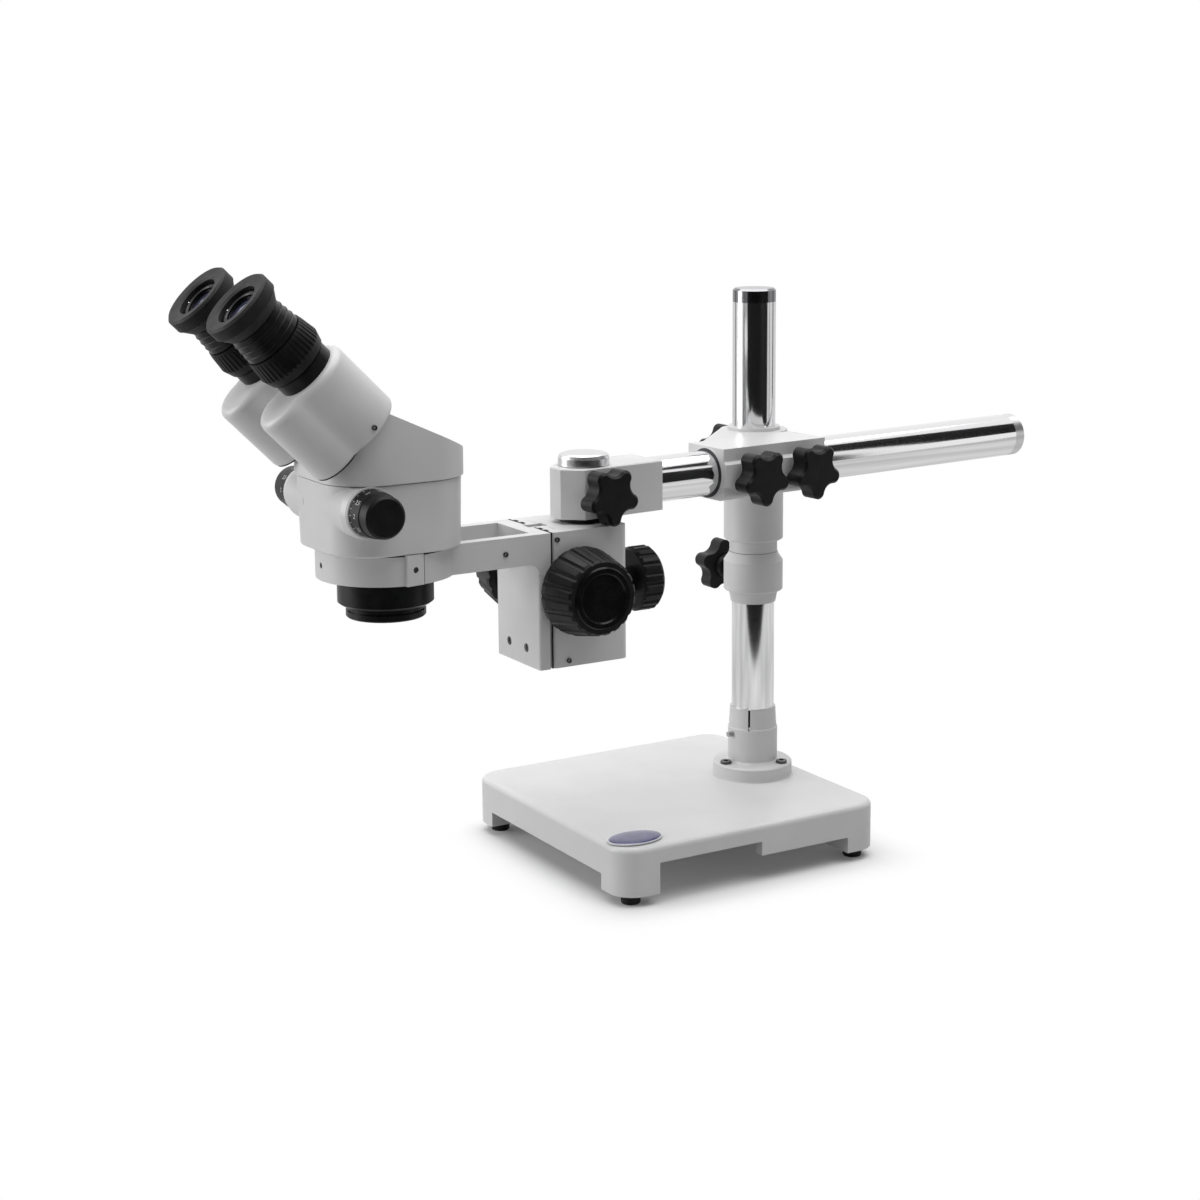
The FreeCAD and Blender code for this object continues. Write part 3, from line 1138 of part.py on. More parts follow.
def prism_housing(side):
    """Casting that carries one eyepiece and turns about its pin to set the eye spacing."""
    body = Part.Face(teardrop(-PRISM_L)).extrude(Vec(0, 0, PRISM_L))
    body = body.makeFillet(PRISM_EDGE_R, edges_at_height(body, 0))
    body = body.makeFillet(PRISM_REAR_EDGE_R, edges_at_height(body, -PRISM_L))
    pin = rod(PRISM_PIN_R, Vec(0, -PRISM_LEVER, -PRISM_L - PRISM_PIN_L + 1), Vec(0, 0, 1), PRISM_PIN_L)
    body = plus(body, pin)
    bore = rod(EYE_BORE_R + RUN_FIT, Vec(0, 0, -EYE_BORE_DEPTH), Vec(0, 0, 1), EYE_BORE_DEPTH + EXTRA)
    return at_ring(eye_frame(body.cut(bore), side))


def eyepiece_tube(side):
    """Black tube on the housing that the eyepiece slides into."""
    body = turned([
        (EYE_BORE_R - 1.5, -EYE_BORE_DEPTH + 1), (EYE_BORE_R, -EYE_BORE_DEPTH + 1), (EYE_BORE_R, 0),
        (EYE_TUBE_R, 0), (EYE_TUBE_R, EYE_TUBE_L), (EYE_TUBE_R - 2, EYE_TUBE_L + 1),
        (EYE_BORE_R + 1, EYE_TUBE_L + 1), (EYE_BORE_R + 1, EYE_TUBE_L + DIOPTRE_L + 1),
        (EYE_BORE_R - 1.5, EYE_TUBE_L + DIOPTRE_L + 1),
    ])
    return at_ring(eye_frame(body, side))


def dioptre_ring(side):
    """Ribbed ring that turns on the tube, widest in its lower half."""
    low = EYE_TUBE_L + 1 + PART_GAP
    high = low + DIOPTRE_L
    bore = EYE_BORE_R + 1 + RUN_FIT
    belly = low + DIOPTRE_L * DIOPTRE_BELLY_SHARE
    ring = turned([
        (bore, low), (DIOPTRE_END_R, low), (DIOPTRE_R, belly), (DIOPTRE_SHOULDER_R, high - DIOPTRE_SHOULDER_L),
        (DIOPTRE_END_R, high - PART_GAP), (bore, high - PART_GAP),
    ])
    ribs_low = low + DIOPTRE_RIBS_FROM
    ring = fluted(ring, DIOPTRE_RIBS, DIOPTRE_RIB_T, DIOPTRE_R, DIOPTRE_SHOULDER_R, ribs_low, DIOPTRE_RIBS_L)
    return at_ring(eye_frame(ring, side))


def eyepiece_barrel(side):
    """Eyepiece body above the dioptre ring, with its spigot in the tube."""
    low = EYE_TUBE_L + DIOPTRE_L + 1 + PART_GAP
    inner = EYE_BORE_R - 1.5 - RUN_FIT
    body = turned([
        (inner - 2, 2), (inner, 2), (inner, low), (BARREL_R - BARREL_EDGE, low), (BARREL_R, low + BARREL_EDGE),
        (BARREL_NECK_R + BARREL_NECK_STEP, EYECUP_BOTTOM - 2 * BARREL_NECK_STEP),
        (BARREL_NECK_R + BARREL_NECK_STEP, EYECUP_BOTTOM - BARREL_NECK_STEP),
        (BARREL_NECK_R, EYECUP_BOTTOM), (BARREL_NECK_R, BARREL_TOP),
        (EYE_LENS_R, BARREL_TOP), (EYE_LENS_R, BARREL_TOP - 3), (inner - 2, BARREL_TOP - 6),
    ])
    return at_ring(eye_frame(body, side))


def eyecup(side):
    """Thick rubber cup with a broad flat face round its mouth."""
    fit = BARREL_NECK_R + RUN_FIT
    side_low = EYECUP_TOP - EYECUP_SIDE_L
    body = turned([
        (fit, EYECUP_BOTTOM + RUN_FIT), (fit + EYECUP_WALL_T, EYECUP_BOTTOM + RUN_FIT),
        (EYECUP_R - EYECUP_DISH, side_low - EYECUP_DISH), (EYECUP_R, side_low),
        (EYECUP_R, EYECUP_TOP - EYECUP_EDGE), (EYECUP_R - EYECUP_EDGE, EYECUP_TOP),
        (EYECUP_MOUTH_R + EYECUP_MOUTH_EDGE, EYECUP_TOP - EYECUP_DISH), (EYECUP_MOUTH_R, EYECUP_TOP - EYECUP_MOUTH_EDGE),
        (EYECUP_MOUTH_R, EYECUP_TOP - EYECUP_LIP_T), (fit, EYECUP_TOP - EYECUP_LIP_T),
    ])
    return at_ring(eye_frame(body, side))


def eye_lens(side):
    """Front lens of the eyepiece, flat below and domed towards the eye."""
    r = EYE_LENS_R - RUN_FIT
    low = BARREL_TOP - EYE_LENS_T
    rim = BARREL_TOP - EYE_LENS_CROWN
    ball = (r * r + EYE_LENS_CROWN * EYE_LENS_CROWN) / (2 * EYE_LENS_CROWN)
    centre = rim + EYE_LENS_CROWN - ball
    dome = [Vec(x, 0, centre + math.sqrt(ball * ball - x * x)) for x in (r, r / 2, EYE_LENS_FLAT)]
    rest = Part.makePolygon([dome[2], Vec(0, 0, dome[2].z), Vec(0, 0, low), Vec(r, 0, low), dome[0]])
    section = Part.Face(Part.Wire([Part.Arc(*dome).toShape()] + rest.Edges))
    return at_ring(eye_frame(section.revolve(Vec(0, 0, 0), Vec(0, 0, 1), 360), side))


def head_nose():
    """Black barrel through the ring, with the nose, neck and rim below it."""
    bore = LENS_THREAD_R
    body = turned([
        (0, HEAD_BOTTOM), (0, RIM_BOTTOM + LENS_THREAD_L + 6), (bore - 3, RIM_BOTTOM + LENS_THREAD_L + 6),
        (bore - 3, RIM_BOTTOM + LENS_THREAD_L), (bore, RIM_BOTTOM + LENS_THREAD_L), (bore, RIM_BOTTOM),
        (RIM_R - 0.8, RIM_BOTTOM), (RIM_R, RIM_BOTTOM + 0.8), (RIM_R, NOSE_NECK_BOTTOM),
        (NOSE_NECK_R, NOSE_NECK_BOTTOM), (NOSE_NECK_R, NOSE_BOTTOM - 1.5), (NOSE_R - 2, NOSE_BOTTOM),
        (NOSE_R, NOSE_BOTTOM + 1.5), (NOSE_R, ARM_BOTTOM), (RING_BORE_R - RUN_FIT, ARM_BOTTOM),
        (RING_BORE_R - RUN_FIT, HEAD_BOTTOM),
    ])
    wells = []
    for side in (-1, 1):
        wells.append(rod(
            OBJECTIVE_R, Vec(side * OBJECTIVE_X, 0, RIM_BOTTOM + LENS_THREAD_L + 5), Vec(0, 0, 1), 8
        ))
    return at_ring(body.cut(wells))


def objective_lenses():
    """The two front lenses, side by side in the nose."""
    low = RIM_BOTTOM + LENS_THREAD_L + 7
    return at_ring(Part.makeCompound([
        rod(OBJECTIVE_R - RUN_FIT, Vec(side * OBJECTIVE_X, 0, low), Vec(0, 0, 1), OBJECTIVE_T)
        for side in (-1, 1)
    ]))


def zoom_rings():
    """Pale index rings at the foot of the zoom knobs."""
    rings = []
    for side in (-1, 1):
        start = Vec(side * ZOOM_BOSS_X, -ZOOM_AHEAD, ZOOM_Z)
        outer = rod(ZOOM_RING_R, start, Vec(side, 0, 0), ZOOM_RING_T)
        rings.append(outer.cut(rod(ZOOM_SHAFT_R + 1, start - Vec(side, 0, 0), Vec(side, 0, 0), 4)))
    return at_ring(Part.makeCompound(rings))


def zoom_shaft():
    """Shaft that joins the two zoom knobs through the head."""
    end = ZOOM_KNOB_FACE_X - 5
    return at_ring(rod(ZOOM_SHAFT_R, Vec(-end, -ZOOM_AHEAD, ZOOM_Z), Vec(1, 0, 0), 2 * end))


def zoom_knob(side):
    """Numbered barrel with a fine grip at its outer end."""
    low = ZOOM_BOSS_X + ZOOM_RING_T + PART_GAP
    grip = low + (ZOOM_KNOB_FACE_X - low) * 0.55
    body = turned([
        (ZOOM_SHAFT_R + RUN_FIT, low), (ZOOM_KNOB_ROOT_R, low), (ZOOM_KNOB_ROOT_R - 0.7, grip),
        (ZOOM_KNOB_R + 0.6, grip + 0.4), (ZOOM_KNOB_R, ZOOM_KNOB_FACE_X - 1.5),
        (ZOOM_KNOB_R - 1.5, ZOOM_KNOB_FACE_X), (0, ZOOM_KNOB_FACE_X), (0, ZOOM_KNOB_FACE_X - 4),
        (ZOOM_SHAFT_R + RUN_FIT, ZOOM_KNOB_FACE_X - 4),
    ])
    body.Placement = FreeCAD.Placement(Vec(0, -ZOOM_AHEAD, ZOOM_Z), FreeCAD.Rotation(Vec(0, 0, 1), Vec(side, 0, 0)))
    return at_ring(body)


NODES["base_plate"] = base_plate()
NODES["rubber_feet"] = rubber_feet()
NODES["column_socket"] = column_socket()
NODES["socket_screws"] = socket_screws()
NODES["socket_set_screw"] = socket_set_screw()
NODES["column_tube"] = column_tube()
NODES["column_cap"] = column_cap()
NODES["safety_collar"] = collar_ring()
NODES["collar_lock_knob"] = collar_knob()
NODES["clamp_casting"] = clamp_casting()
NODES["clamp_bushes"] = clamp_bushes()
NODES["column_lock_knob"] = column_lock_knob()
NODES["boom_lock_knob_rear"] = boom_lock_knob(clamp_knob_places()[0])
NODES["boom_lock_knob_front"] = boom_lock_knob(clamp_knob_places()[1])
NODES["boom_tube"] = boom_tube()
NODES["boom_cap"] = boom_cap()
NODES["pivot_casting"] = pivot_casting()
NODES["pivot_lock_knob"] = pivot_lock_knob()
NODES["thrust_washer"] = thrust_washer()
NODES["post_shaft"] = post_shaft()
NODES["post_cap"] = post_cap()
NODES["focus_housing"] = focus_housing()
NODES["pinion_bushes"] = pinion_bushes()
NODES["post_lock_knob"] = post_lock_knob()
NODES["pinion_shaft"] = pinion_shaft()
NODES["focus_rack"] = focus_rack()
NODES["carriage_plate"] = carriage_plate()
NODES["carriage_screws"] = carriage_screws()
NODES["ring_fork"] = ring_fork()
NODES["ring_screws"] = ring_screws()
NODES["head_nose"] = head_nose()
NODES["objective_lenses"] = objective_lenses()
NODES["zoom_body"] = zoom_body()
NODES["head_cover"] = head_cover()
NODES["zoom_rings"] = zoom_rings()
NODES["zoom_shaft"] = zoom_shaft()
for name, side in (("left", -1), ("right", 1)):
    NODES["focus_knob_" + name] = focus_knob(side)
    NODES["focus_knob_cap_" + name] = focus_knob_cap(side)
    NODES["zoom_knob_" + name] = zoom_knob(side)
    NODES["prism_housing_" + name] = prism_housing(side)
    NODES["eyepiece_tube_" + name] = eyepiece_tube(side)
    NODES["dioptre_ring_" + name] = dioptre_ring(side)
    NODES["eyepiece_barrel_" + name] = eyepiece_barrel(side)
    NODES["eyecup_" + name] = eyecup(side)
    NODES["eye_lens_" + name] = eye_lens(side)

os.makedirs("parts", exist_ok=True)
for name, shape in NODES.items():
    shape.exportStep("parts/" + name + ".step")
    print(name, len(shape.Solids), shape.isValid(), round(shape.Volume / 1000.0, 2), "cm3")
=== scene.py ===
# %% [markdown]
# # A stereo zoom microscope on a boom stand
#
# The castings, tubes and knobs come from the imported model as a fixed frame. This script dresses
# them: it gives each one a finish, adds the small printed and pressed details that the model
# leaves out, and sets up the light and the camera. Everything is in metres, with the middle of
# the base plate at the origin, Z up and the operator on the -Y side.

# %% Load the frame
import bpy
import math
from mathutils import Matrix, Vector


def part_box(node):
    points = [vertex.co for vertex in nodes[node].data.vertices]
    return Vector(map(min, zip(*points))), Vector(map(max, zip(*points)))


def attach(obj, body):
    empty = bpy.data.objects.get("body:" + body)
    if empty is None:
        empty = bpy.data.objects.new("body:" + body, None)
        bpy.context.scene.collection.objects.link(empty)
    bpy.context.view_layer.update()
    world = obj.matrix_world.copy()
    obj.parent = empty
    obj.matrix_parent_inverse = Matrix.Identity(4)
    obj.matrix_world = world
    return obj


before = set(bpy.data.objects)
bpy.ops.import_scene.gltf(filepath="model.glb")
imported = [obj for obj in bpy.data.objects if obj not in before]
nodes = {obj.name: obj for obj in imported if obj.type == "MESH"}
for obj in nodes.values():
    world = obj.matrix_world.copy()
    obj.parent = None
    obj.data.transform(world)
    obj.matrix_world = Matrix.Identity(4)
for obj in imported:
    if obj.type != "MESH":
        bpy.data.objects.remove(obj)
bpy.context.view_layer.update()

MM = 0.001
MICRON = 0.000001

# %% [markdown]
# ## Materials
#
# Real paint is never one flat colour. It could be painted by hand on an image, but then each
# casting would need its own unwrapped picture. Here every finish is one Principled shader
# instead: a slow noise moves its tone by a few percent, a finer one changes how glossy it is,
# and a third gives the surface its grain through a Bump node. All of them read Object
# coordinates, which are metres here, so a grain of half a millimetre is written as that.

# %% Helpers for finishes
TONE_FROM, TONE_TO = 0.35, 0.65  # nearly all of a noise lies between these two values


def new_finish(name, roughness, metallic=0.0, ior=1.5):
    """An empty finish with its shader, returned with the tree to add nodes to."""
    material = bpy.data.materials.new(name)
    material.use_nodes = True
    tree = material.node_tree
    shader = tree.nodes["Principled BSDF"]
    shader.inputs["Roughness"].default_value = roughness
    shader.inputs["Metallic"].default_value = metallic
    shader.inputs["IOR"].default_value = ior
    return material, tree, shader


def noise(tree, size, detail=2.0):
    """Noise on Object coordinates whose lumps are about the given size in metres."""
    place = tree.nodes.new("ShaderNodeTexCoord")
    pattern = tree.nodes.new("ShaderNodeTexNoise")
    pattern.inputs["Scale"].default_value = 1.0 / size
    pattern.inputs["Detail"].default_value = detail
    tree.links.new(place.outputs["Object"], pattern.inputs["Vector"])
    return pattern.outputs["Fac"]


def spread(tree, value, low, high):
    """Maps a pattern from 0..1 to low..high."""
    node = tree.nodes.new("ShaderNodeMapRange")
    node.inputs["To Min"].default_value = low
    node.inputs["To Max"].default_value = high
    tree.links.new(value, node.inputs["Value"])
    return node.outputs["Result"]


def two_tone(tree, value, dark, light):
    """Goes from a dark to a light colour as the pattern rises."""
    ramp = tree.nodes.new("ShaderNodeValToRGB")
    ramp.color_ramp.elements[0].position = TONE_FROM
    ramp.color_ramp.elements[0].color = (*dark, 1)
    ramp.color_ramp.elements[1].position = TONE_TO
    ramp.color_ramp.elements[1].color = (*light, 1)
    tree.links.new(value, ramp.inputs["Fac"])
    return ramp.outputs["Color"]


def bump(tree, shader, value, depth, strength):
    """Raises the surface by a pattern, with its full height in metres."""
    node = tree.nodes.new("ShaderNodeBump")
    node.inputs["Distance"].default_value = depth
    node.inputs["Strength"].default_value = strength
    tree.links.new(value, node.inputs["Height"])
    tree.links.new(node.outputs["Normal"], shader.inputs["Normal"])


def grey(level):
    """A neutral colour."""
    return (level, level, level)


print("helpers for finishes are ready")

# %% [markdown]
# ### Paint
#
# The castings have an off-white enamel with a faint orange peel, which is how sprayed
# paint dries. The peel could be displaced geometry, but at a few hundredths of a millimetre it
# only shows in the highlights, so a bump is enough. A thin clear coat over a satin base gives
# the broad soft sheen with a sharper one on top. The base plate is a shade lighter.

# %% Off-white enamel
PAINT_TONE_SIZE, PAINT_GLOSS_SIZE, PEEL_SIZE = 45 * MM, 12 * MM, 1.1 * MM


def enamel(name, dark, light, peel):
    """Satin paint over a casting; peel is the height of its orange peel."""
    material, tree, shader = new_finish(name, 0.42)
    tone = two_tone(tree, noise(tree, PAINT_TONE_SIZE), dark, light)
    tree.links.new(tone, shader.inputs["Base Color"])
    gloss = spread(tree, noise(tree, PAINT_GLOSS_SIZE), 0.34, 0.5)
    tree.links.new(gloss, shader.inputs["Roughness"])
    bump(tree, shader, noise(tree, PEEL_SIZE, 3.0), peel, 0.35)
    shader.inputs["Coat Weight"].default_value = 0.12
    shader.inputs["Coat Roughness"].default_value = 0.25
    return material


base_enamel = enamel("base_enamel", grey(0.64), grey(0.67), 60 * MICRON)
cast_enamel = enamel("cast_enamel", grey(0.60), grey(0.64), 40 * MICRON)
print("paint:", base_enamel.name, cast_enamel.name)

# %% [markdown]
# ### Metal
#
# Hard chrome reflects like a mirror with very fine polishing lines round the tube. The
# shader's own anisotropy could draw such lines, but it needs a direction along the surface. A
# noise that is stretched in two directions and fine in the third does the same and follows
# the real tube: fine along Z on a tube that stands upright, fine along Y on the level boom.
# The same metal, duller and darker, makes screws, plugs and machined parts.

# %% Chrome and steel
LINES_UPRIGHT = (60, 60, 2200)
LINES_LEVEL = (60, 2200, 60)
LINES_TURNED = (300, 300, 1800)
NO_LINES = (900, 900, 900)


def polished(name, colour, roughness, lines, depth):
    """Bright metal with polishing lines; lines scales the noise along X, Y and Z."""
    material, tree, shader = new_finish(name, roughness, metallic=1.0)
    shader.inputs["Base Color"].default_value = (*colour, 1)
    place = tree.nodes.new("ShaderNodeTexCoord")
    mapping = tree.nodes.new("ShaderNodeMapping")
    mapping.inputs["Scale"].default_value = lines
    pattern = tree.nodes.new("ShaderNodeTexNoise")
    pattern.inputs["Scale"].default_value = 1.0
    pattern.inputs["Detail"].default_value = 3.0
    tree.links.new(place.outputs["Object"], mapping.inputs["Vector"])
    tree.links.new(mapping.outputs["Vector"], pattern.inputs["Vector"])
    gloss = spread(tree, pattern.outputs["Fac"], roughness * 0.7, roughness * 1.4)
    tree.links.new(gloss, shader.inputs["Roughness"])
    bump(tree, shader, pattern.outputs["Fac"], depth, 0.3)
    return material


CHROME = (0.80, 0.80, 0.81)
column_chrome = polished("column_chrome", CHROME, 0.09, LINES_UPRIGHT, 4 * MICRON)
boom_chrome = polished("boom_chrome", CHROME, 0.09, LINES_LEVEL, 4 * MICRON)
plug_metal = polished("plug_metal", (0.24, 0.24, 0.25), 0.16, LINES_TURNED, 6 * MICRON)
cap_chrome = polished("cap_chrome", (0.66, 0.66, 0.67), 0.3, LINES_TURNED, 4 * MICRON)
screw_steel = polished("screw_steel", grey(0.10), 0.35, NO_LINES, 10 * MICRON)
machined_steel = polished("machined_steel", (0.42, 0.42, 0.43), 0.3, NO_LINES, 10 * MICRON)
bush_brass = polished("bush_brass", (0.60, 0.42, 0.20), 0.3, NO_LINES, 10 * MICRON)
print("metal:", column_chrome.name, boom_chrome.name, plug_metal.name, cap_chrome.name)

# %% [markdown]
# ### Plastic, rubber and anodised metal
#
# The knobs are moulded with a fine leathery grain, the caps in their middles are glossy, and
# the eyecups are soft rubber, rougher and a little greyer. Pure black would look like a hole,
# so each of them goes between two very dark greys. One function makes them all, since they
# differ only in tone, gloss and grain, and a low specular level keeps white rooms from
# washing them out.

# %% Black finishes
BLACK_TONE_SIZE, BLACK_GLOSS_SIZE = 8 * MM, 3 * MM


def moulded(name, dark, light, roughness, grain, depth):
    """Moulded black with a grain of the given size and depth in metres."""
    material, tree, shader = new_finish(name, roughness)
    shader.inputs["Specular IOR Level"].default_value = 0.2
    tone = two_tone(tree, noise(tree, BLACK_TONE_SIZE), dark, light)
    tree.links.new(tone, shader.inputs["Base Color"])
    gloss = spread(tree, noise(tree, BLACK_GLOSS_SIZE), roughness * 0.85, roughness * 1.15)
    tree.links.new(gloss, shader.inputs["Roughness"])
    bump(tree, shader, noise(tree, grain, 3.0), depth, 0.5)
    return material


knob_black = moulded("knob_black", grey(0.006), grey(0.010), 0.42, 0.7 * MM, 60 * MICRON)
cap_black = moulded("cap_black", (0.004, 0.004, 0.0045), (0.007, 0.007, 0.0075),
                    0.2, 1.5 * MM, 10 * MICRON)
anodised_black = moulded("anodised_black", (0.008, 0.008, 0.0085), (0.013, 0.013, 0.014),
                         0.3, 0.5 * MM, 20 * MICRON)
eye_rubber = moulded("eye_rubber", grey(0.014), grey(0.022), 0.55, 0.9 * MM, 50 * MICRON)
foot_rubber = moulded("foot_rubber", grey(0.012), grey(0.02), 0.6, 1.2 * MM, 60 * MICRON)
liner_grey = moulded("liner_grey", (0.045, 0.045, 0.05), (0.06, 0.06, 0.065),
                     0.4, 0.9 * MM, 30 * MICRON)
print("black:", knob_black.name, cap_black.name, anodised_black.name, eye_rubber.name)

# %% [markdown]
# ### Lens glass
#
# The lenses are coated, and behind them the eyepiece is dark. A see-through lens would show
# the solid tube under it, so the glass is a dark body that goes from violet to green, as such
# a coating does, under a clear coat that gives the sharp reflection.

# %% Coated glass
lens_glass, glass_tree, glass_shader = new_finish("lens_glass", 0.03, ior=1.52)
coating = two_tone(glass_tree, noise(glass_tree, 20 * MM), (0.07, 0.068, 0.085),
                   (0.06, 0.075, 0.08))
glass_tree.links.new(coating, glass_shader.inputs["Base Color"])
glass_shader.inputs["Coat Weight"].default_value = 1.0
glass_shader.inputs["Coat Roughness"].default_value = 0.02
glass_shader.inputs["Coat Tint"].default_value = (0.75, 0.7, 1.0, 1)
print("glass:", lens_glass.name)

# %% [markdown]
# ### Who wears what
#
# The frame's nodes keep their shapes and only get a new finish in their material slots. Single
# pieces are found by their whole name. Pieces that come in pairs, such as knobs and eyecups,
# are found by how their name starts, so that left and right can't end up different.

# %% Give each node its finish
finish_of = {
    "base_plate": base_enamel, "rubber_feet": foot_rubber, "column_socket": cast_enamel,
    "socket_screws": screw_steel, "socket_set_screw": machined_steel,
    "column_tube": column_chrome, "column_cap": plug_metal, "safety_collar": cast_enamel,
    "clamp_casting": cast_enamel, "clamp_bushes": liner_grey, "boom_tube": boom_chrome,
    "boom_cap": cap_chrome, "pivot_casting": cast_enamel, "thrust_washer": knob_black,
    "post_shaft": column_chrome, "post_cap": cap_chrome, "focus_housing": cast_enamel,
    "pinion_bushes": bush_brass, "pinion_shaft": machined_steel,
    "carriage_plate": cast_enamel, "carriage_screws": screw_steel,
    "focus_rack": machined_steel, "ring_fork": cast_enamel, "ring_screws": screw_steel,
    "head_nose": anodised_black, "objective_lenses": lens_glass, "zoom_body": cast_enamel,
    "head_cover": cast_enamel, "zoom_rings": cast_enamel, "zoom_shaft": machined_steel,
}
finish_by_start = {
    "focus_knob_cap": cap_black, "focus_knob": knob_black, "zoom_knob": knob_black,
    "prism_housing": cast_enamel, "eyepiece": anodised_black, "dioptre": knob_black,
    "eyecup": eye_rubber, "eye_lens": lens_glass,
}
for name, node in nodes.items():
    finish = finish_of.get(name)
    if finish is None and "lock_knob" in name:
        finish = knob_black
    if finish is None:
        finish = next(f for start, f in finish_by_start.items() if name.startswith(start))
    if not node.material_slots:
        node.data.materials.append(finish)
    for slot in node.material_slots:
        slot.material = finish
print("finishes on", len(nodes), "nodes")

# %% [markdown]
# ## Small pieces
#
# The frame has the castings, tubes and knobs. What follows are the small things on them: set
# screws, the printed scale of the zoom knobs, the retaining rings inside the eyecups and the
# plain oval plate on the base. Each is modelled at the origin with its face towards +Z, then
# turned and moved in its mesh, so that its object stays at the origin as the frame's do.
#
# The operators act on whatever is selected, as they do by hand. So the first helpers clear
# the selection and pick faces by where they are and which way they look.

# %% Helpers for modelling
def deselect():
    """Nothing selected and nothing in edit mode."""
    if bpy.context.object and bpy.context.object.mode != "OBJECT":
        bpy.ops.object.mode_set(mode="OBJECT")
    bpy.ops.object.select_all(action="DESELECT")


def take_up(piece):
    """Selects one piece alone and makes it the active one."""
    deselect()
    piece.select_set(True)
    bpy.context.view_layer.objects.active = piece


def pick_faces(piece, wanted):
    """Selects the faces whose middle and normal pass a test, and stays in edit mode."""
    bpy.ops.object.mode_set(mode="EDIT")
    bpy.ops.mesh.select_mode(type="FACE")
    bpy.ops.mesh.select_all(action="DESELECT")
    bpy.ops.object.mode_set(mode="OBJECT")
    for face in piece.data.polygons:
        face.select = wanted(face.center, face.normal)
    bpy.ops.object.mode_set(mode="EDIT")


def discard(*pieces):
    """Removes patterns and cutters that have done their work."""
    for piece in pieces:
        bpy.data.objects.remove(piece, do_unlink=True)


def cut_out(piece, cutter):
    """Takes one mesh out of another with an applied Boolean and removes the cutter."""
    take_up(piece)
    bpy.ops.object.modifier_add(type="BOOLEAN")
    piece.modifiers[-1].object = cutter
    piece.modifiers[-1].solver = "EXACT"
    bpy.ops.object.modifier_apply(modifier=piece.modifiers[-1].name)
    discard(cutter)


def smooth(piece, angle=30):
    """Soft shading with crisp edges."""
    take_up(piece)
    bpy.ops.object.shade_smooth_by_angle(angle=math.radians(angle))


print("helpers for modelling are ready")

# %% [markdown]
# A finished piece is set down on the frame. Its object could simply be moved, but the frame's
# objects all sit at the origin and patterns read Object coordinates, so the place goes into
# the mesh. What repeats is modelled once, and each copy gets a mesh of its own.

# %% Helpers for placing
def set_down(piece, at, facing):
    """Turns a piece's +Z to a direction and moves it, all in its mesh."""
    rotation = Vector(facing).to_track_quat("Z", "Y").to_matrix().to_4x4()
    piece.data.transform(Matrix.Translation(Vector(at)) @ rotation)


def another(piece, name):
    """A copy with its own mesh."""
    twin = piece.copy()
    twin.data = piece.data.copy()
    twin.name = name
    bpy.context.scene.collection.objects.link(twin)
    return twin


def join(pieces, name):
    """Makes one piece of several."""
    deselect()
    for piece in pieces:
        piece.select_set(True)
    bpy.context.view_layer.objects.active = pieces[0]
    bpy.ops.object.join()
    pieces[0].name = name
    return pieces[0]


def hand_over(piece, body, finish=None):
    """Gives a piece its finish, where one is given, and its body."""
    if finish is not None:
        piece.data.materials.clear()
        piece.data.materials.append(finish)
    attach(piece, body)


def middle(node):
    """The middle of a node's box."""
    low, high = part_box(node)
    return (Vector(low) + Vector(high)) / 2


SIDES = ((-1, "left"), (1, "right"))
print("helpers for placing are ready")

# %% [markdown]
# ### Set screws
#
# Headless screws with a hexagon socket hold the ring arms, the gib of the focus mount and the
# prism housings. At this size a dark dot would do from afar, but close up the socket shows. A
# 32-sided cylinder gets a rounded rim from an inset that is pushed down, and a six-sided
# cutter makes its socket. One screw is modelled and the others are copies.

# %% One set screw
SCREW_R = 1.7 * MM
SCREW_L = 2.0 * MM


def set_screw(radius, length):
    """A headless screw whose rim stands level with z = 0."""
    rim, chamfer, socket, cutter_l = 0.18 * radius, 0.12 * radius, 0.62 * radius, 2.4 * radius
    deselect()
    bpy.ops.mesh.primitive_cylinder_add(vertices=32, radius=radius, depth=length,
                                        location=(0, 0, -length / 2))
    screw = bpy.context.object
    pick_faces(screw, lambda at, normal: normal.z > 0.9)
    bpy.ops.mesh.inset(thickness=rim, depth=0.0)
    bpy.ops.transform.translate(value=(0, 0, -chamfer))
    bpy.ops.object.mode_set(mode="OBJECT")
    bpy.ops.mesh.primitive_cylinder_add(vertices=6, radius=socket, depth=cutter_l,
                                        location=(0, 0, 0))
    cut_out(screw, bpy.context.object)
    smooth(screw)
    return screw


pattern_screw = set_screw(SCREW_R, SCREW_L)
print("set screw with", len(pattern_screw.data.polygons), "faces")

# %% [markdown]
# The places come from the frame as far as they can: the post's axis for the focus mount, the
# middle of the head for the prism housings. The housings lean back by 45 degrees, so a place
# on them is given in their own directions: across, up along the end face, and out of it.

# %% Places on the focus mount and on the prism housings
ring_at = middle("head_nose")
post_at = middle("post_shaft")
EYE_SPACING = 65.0 * MM
EYE_TILT = math.radians(45)
EYE_FOOT_AHEAD = 64.8 * MM  # the middle of a housing's end face, ahead of the head's axis
EYE_FOOT_Z = 389.4 * MM
eye_out = Vector((0, -math.sin(EYE_TILT), math.cos(EYE_TILT)))
eye_up = Vector((0, math.cos(EYE_TILT), math.sin(EYE_TILT)))
SCREW_PROUD = 0.15 * MM
BLOCK_HALF = 30.0 * MM  # half the width of the focus block and of the ring arms
HOUSING_HALF = 24.5 * MM
HOUSING_SCREW_OUT = -47.0 * MM


def eye_place(side, across, up, out):
    """A point given from the middle of a housing's end face, in metres."""
    foot = Vector((ring_at.x + side * EYE_SPACING / 2, ring_at.y - EYE_FOOT_AHEAD, EYE_FOOT_Z))
    return foot + Vector((across, 0, 0)) + eye_up * up + eye_out * out


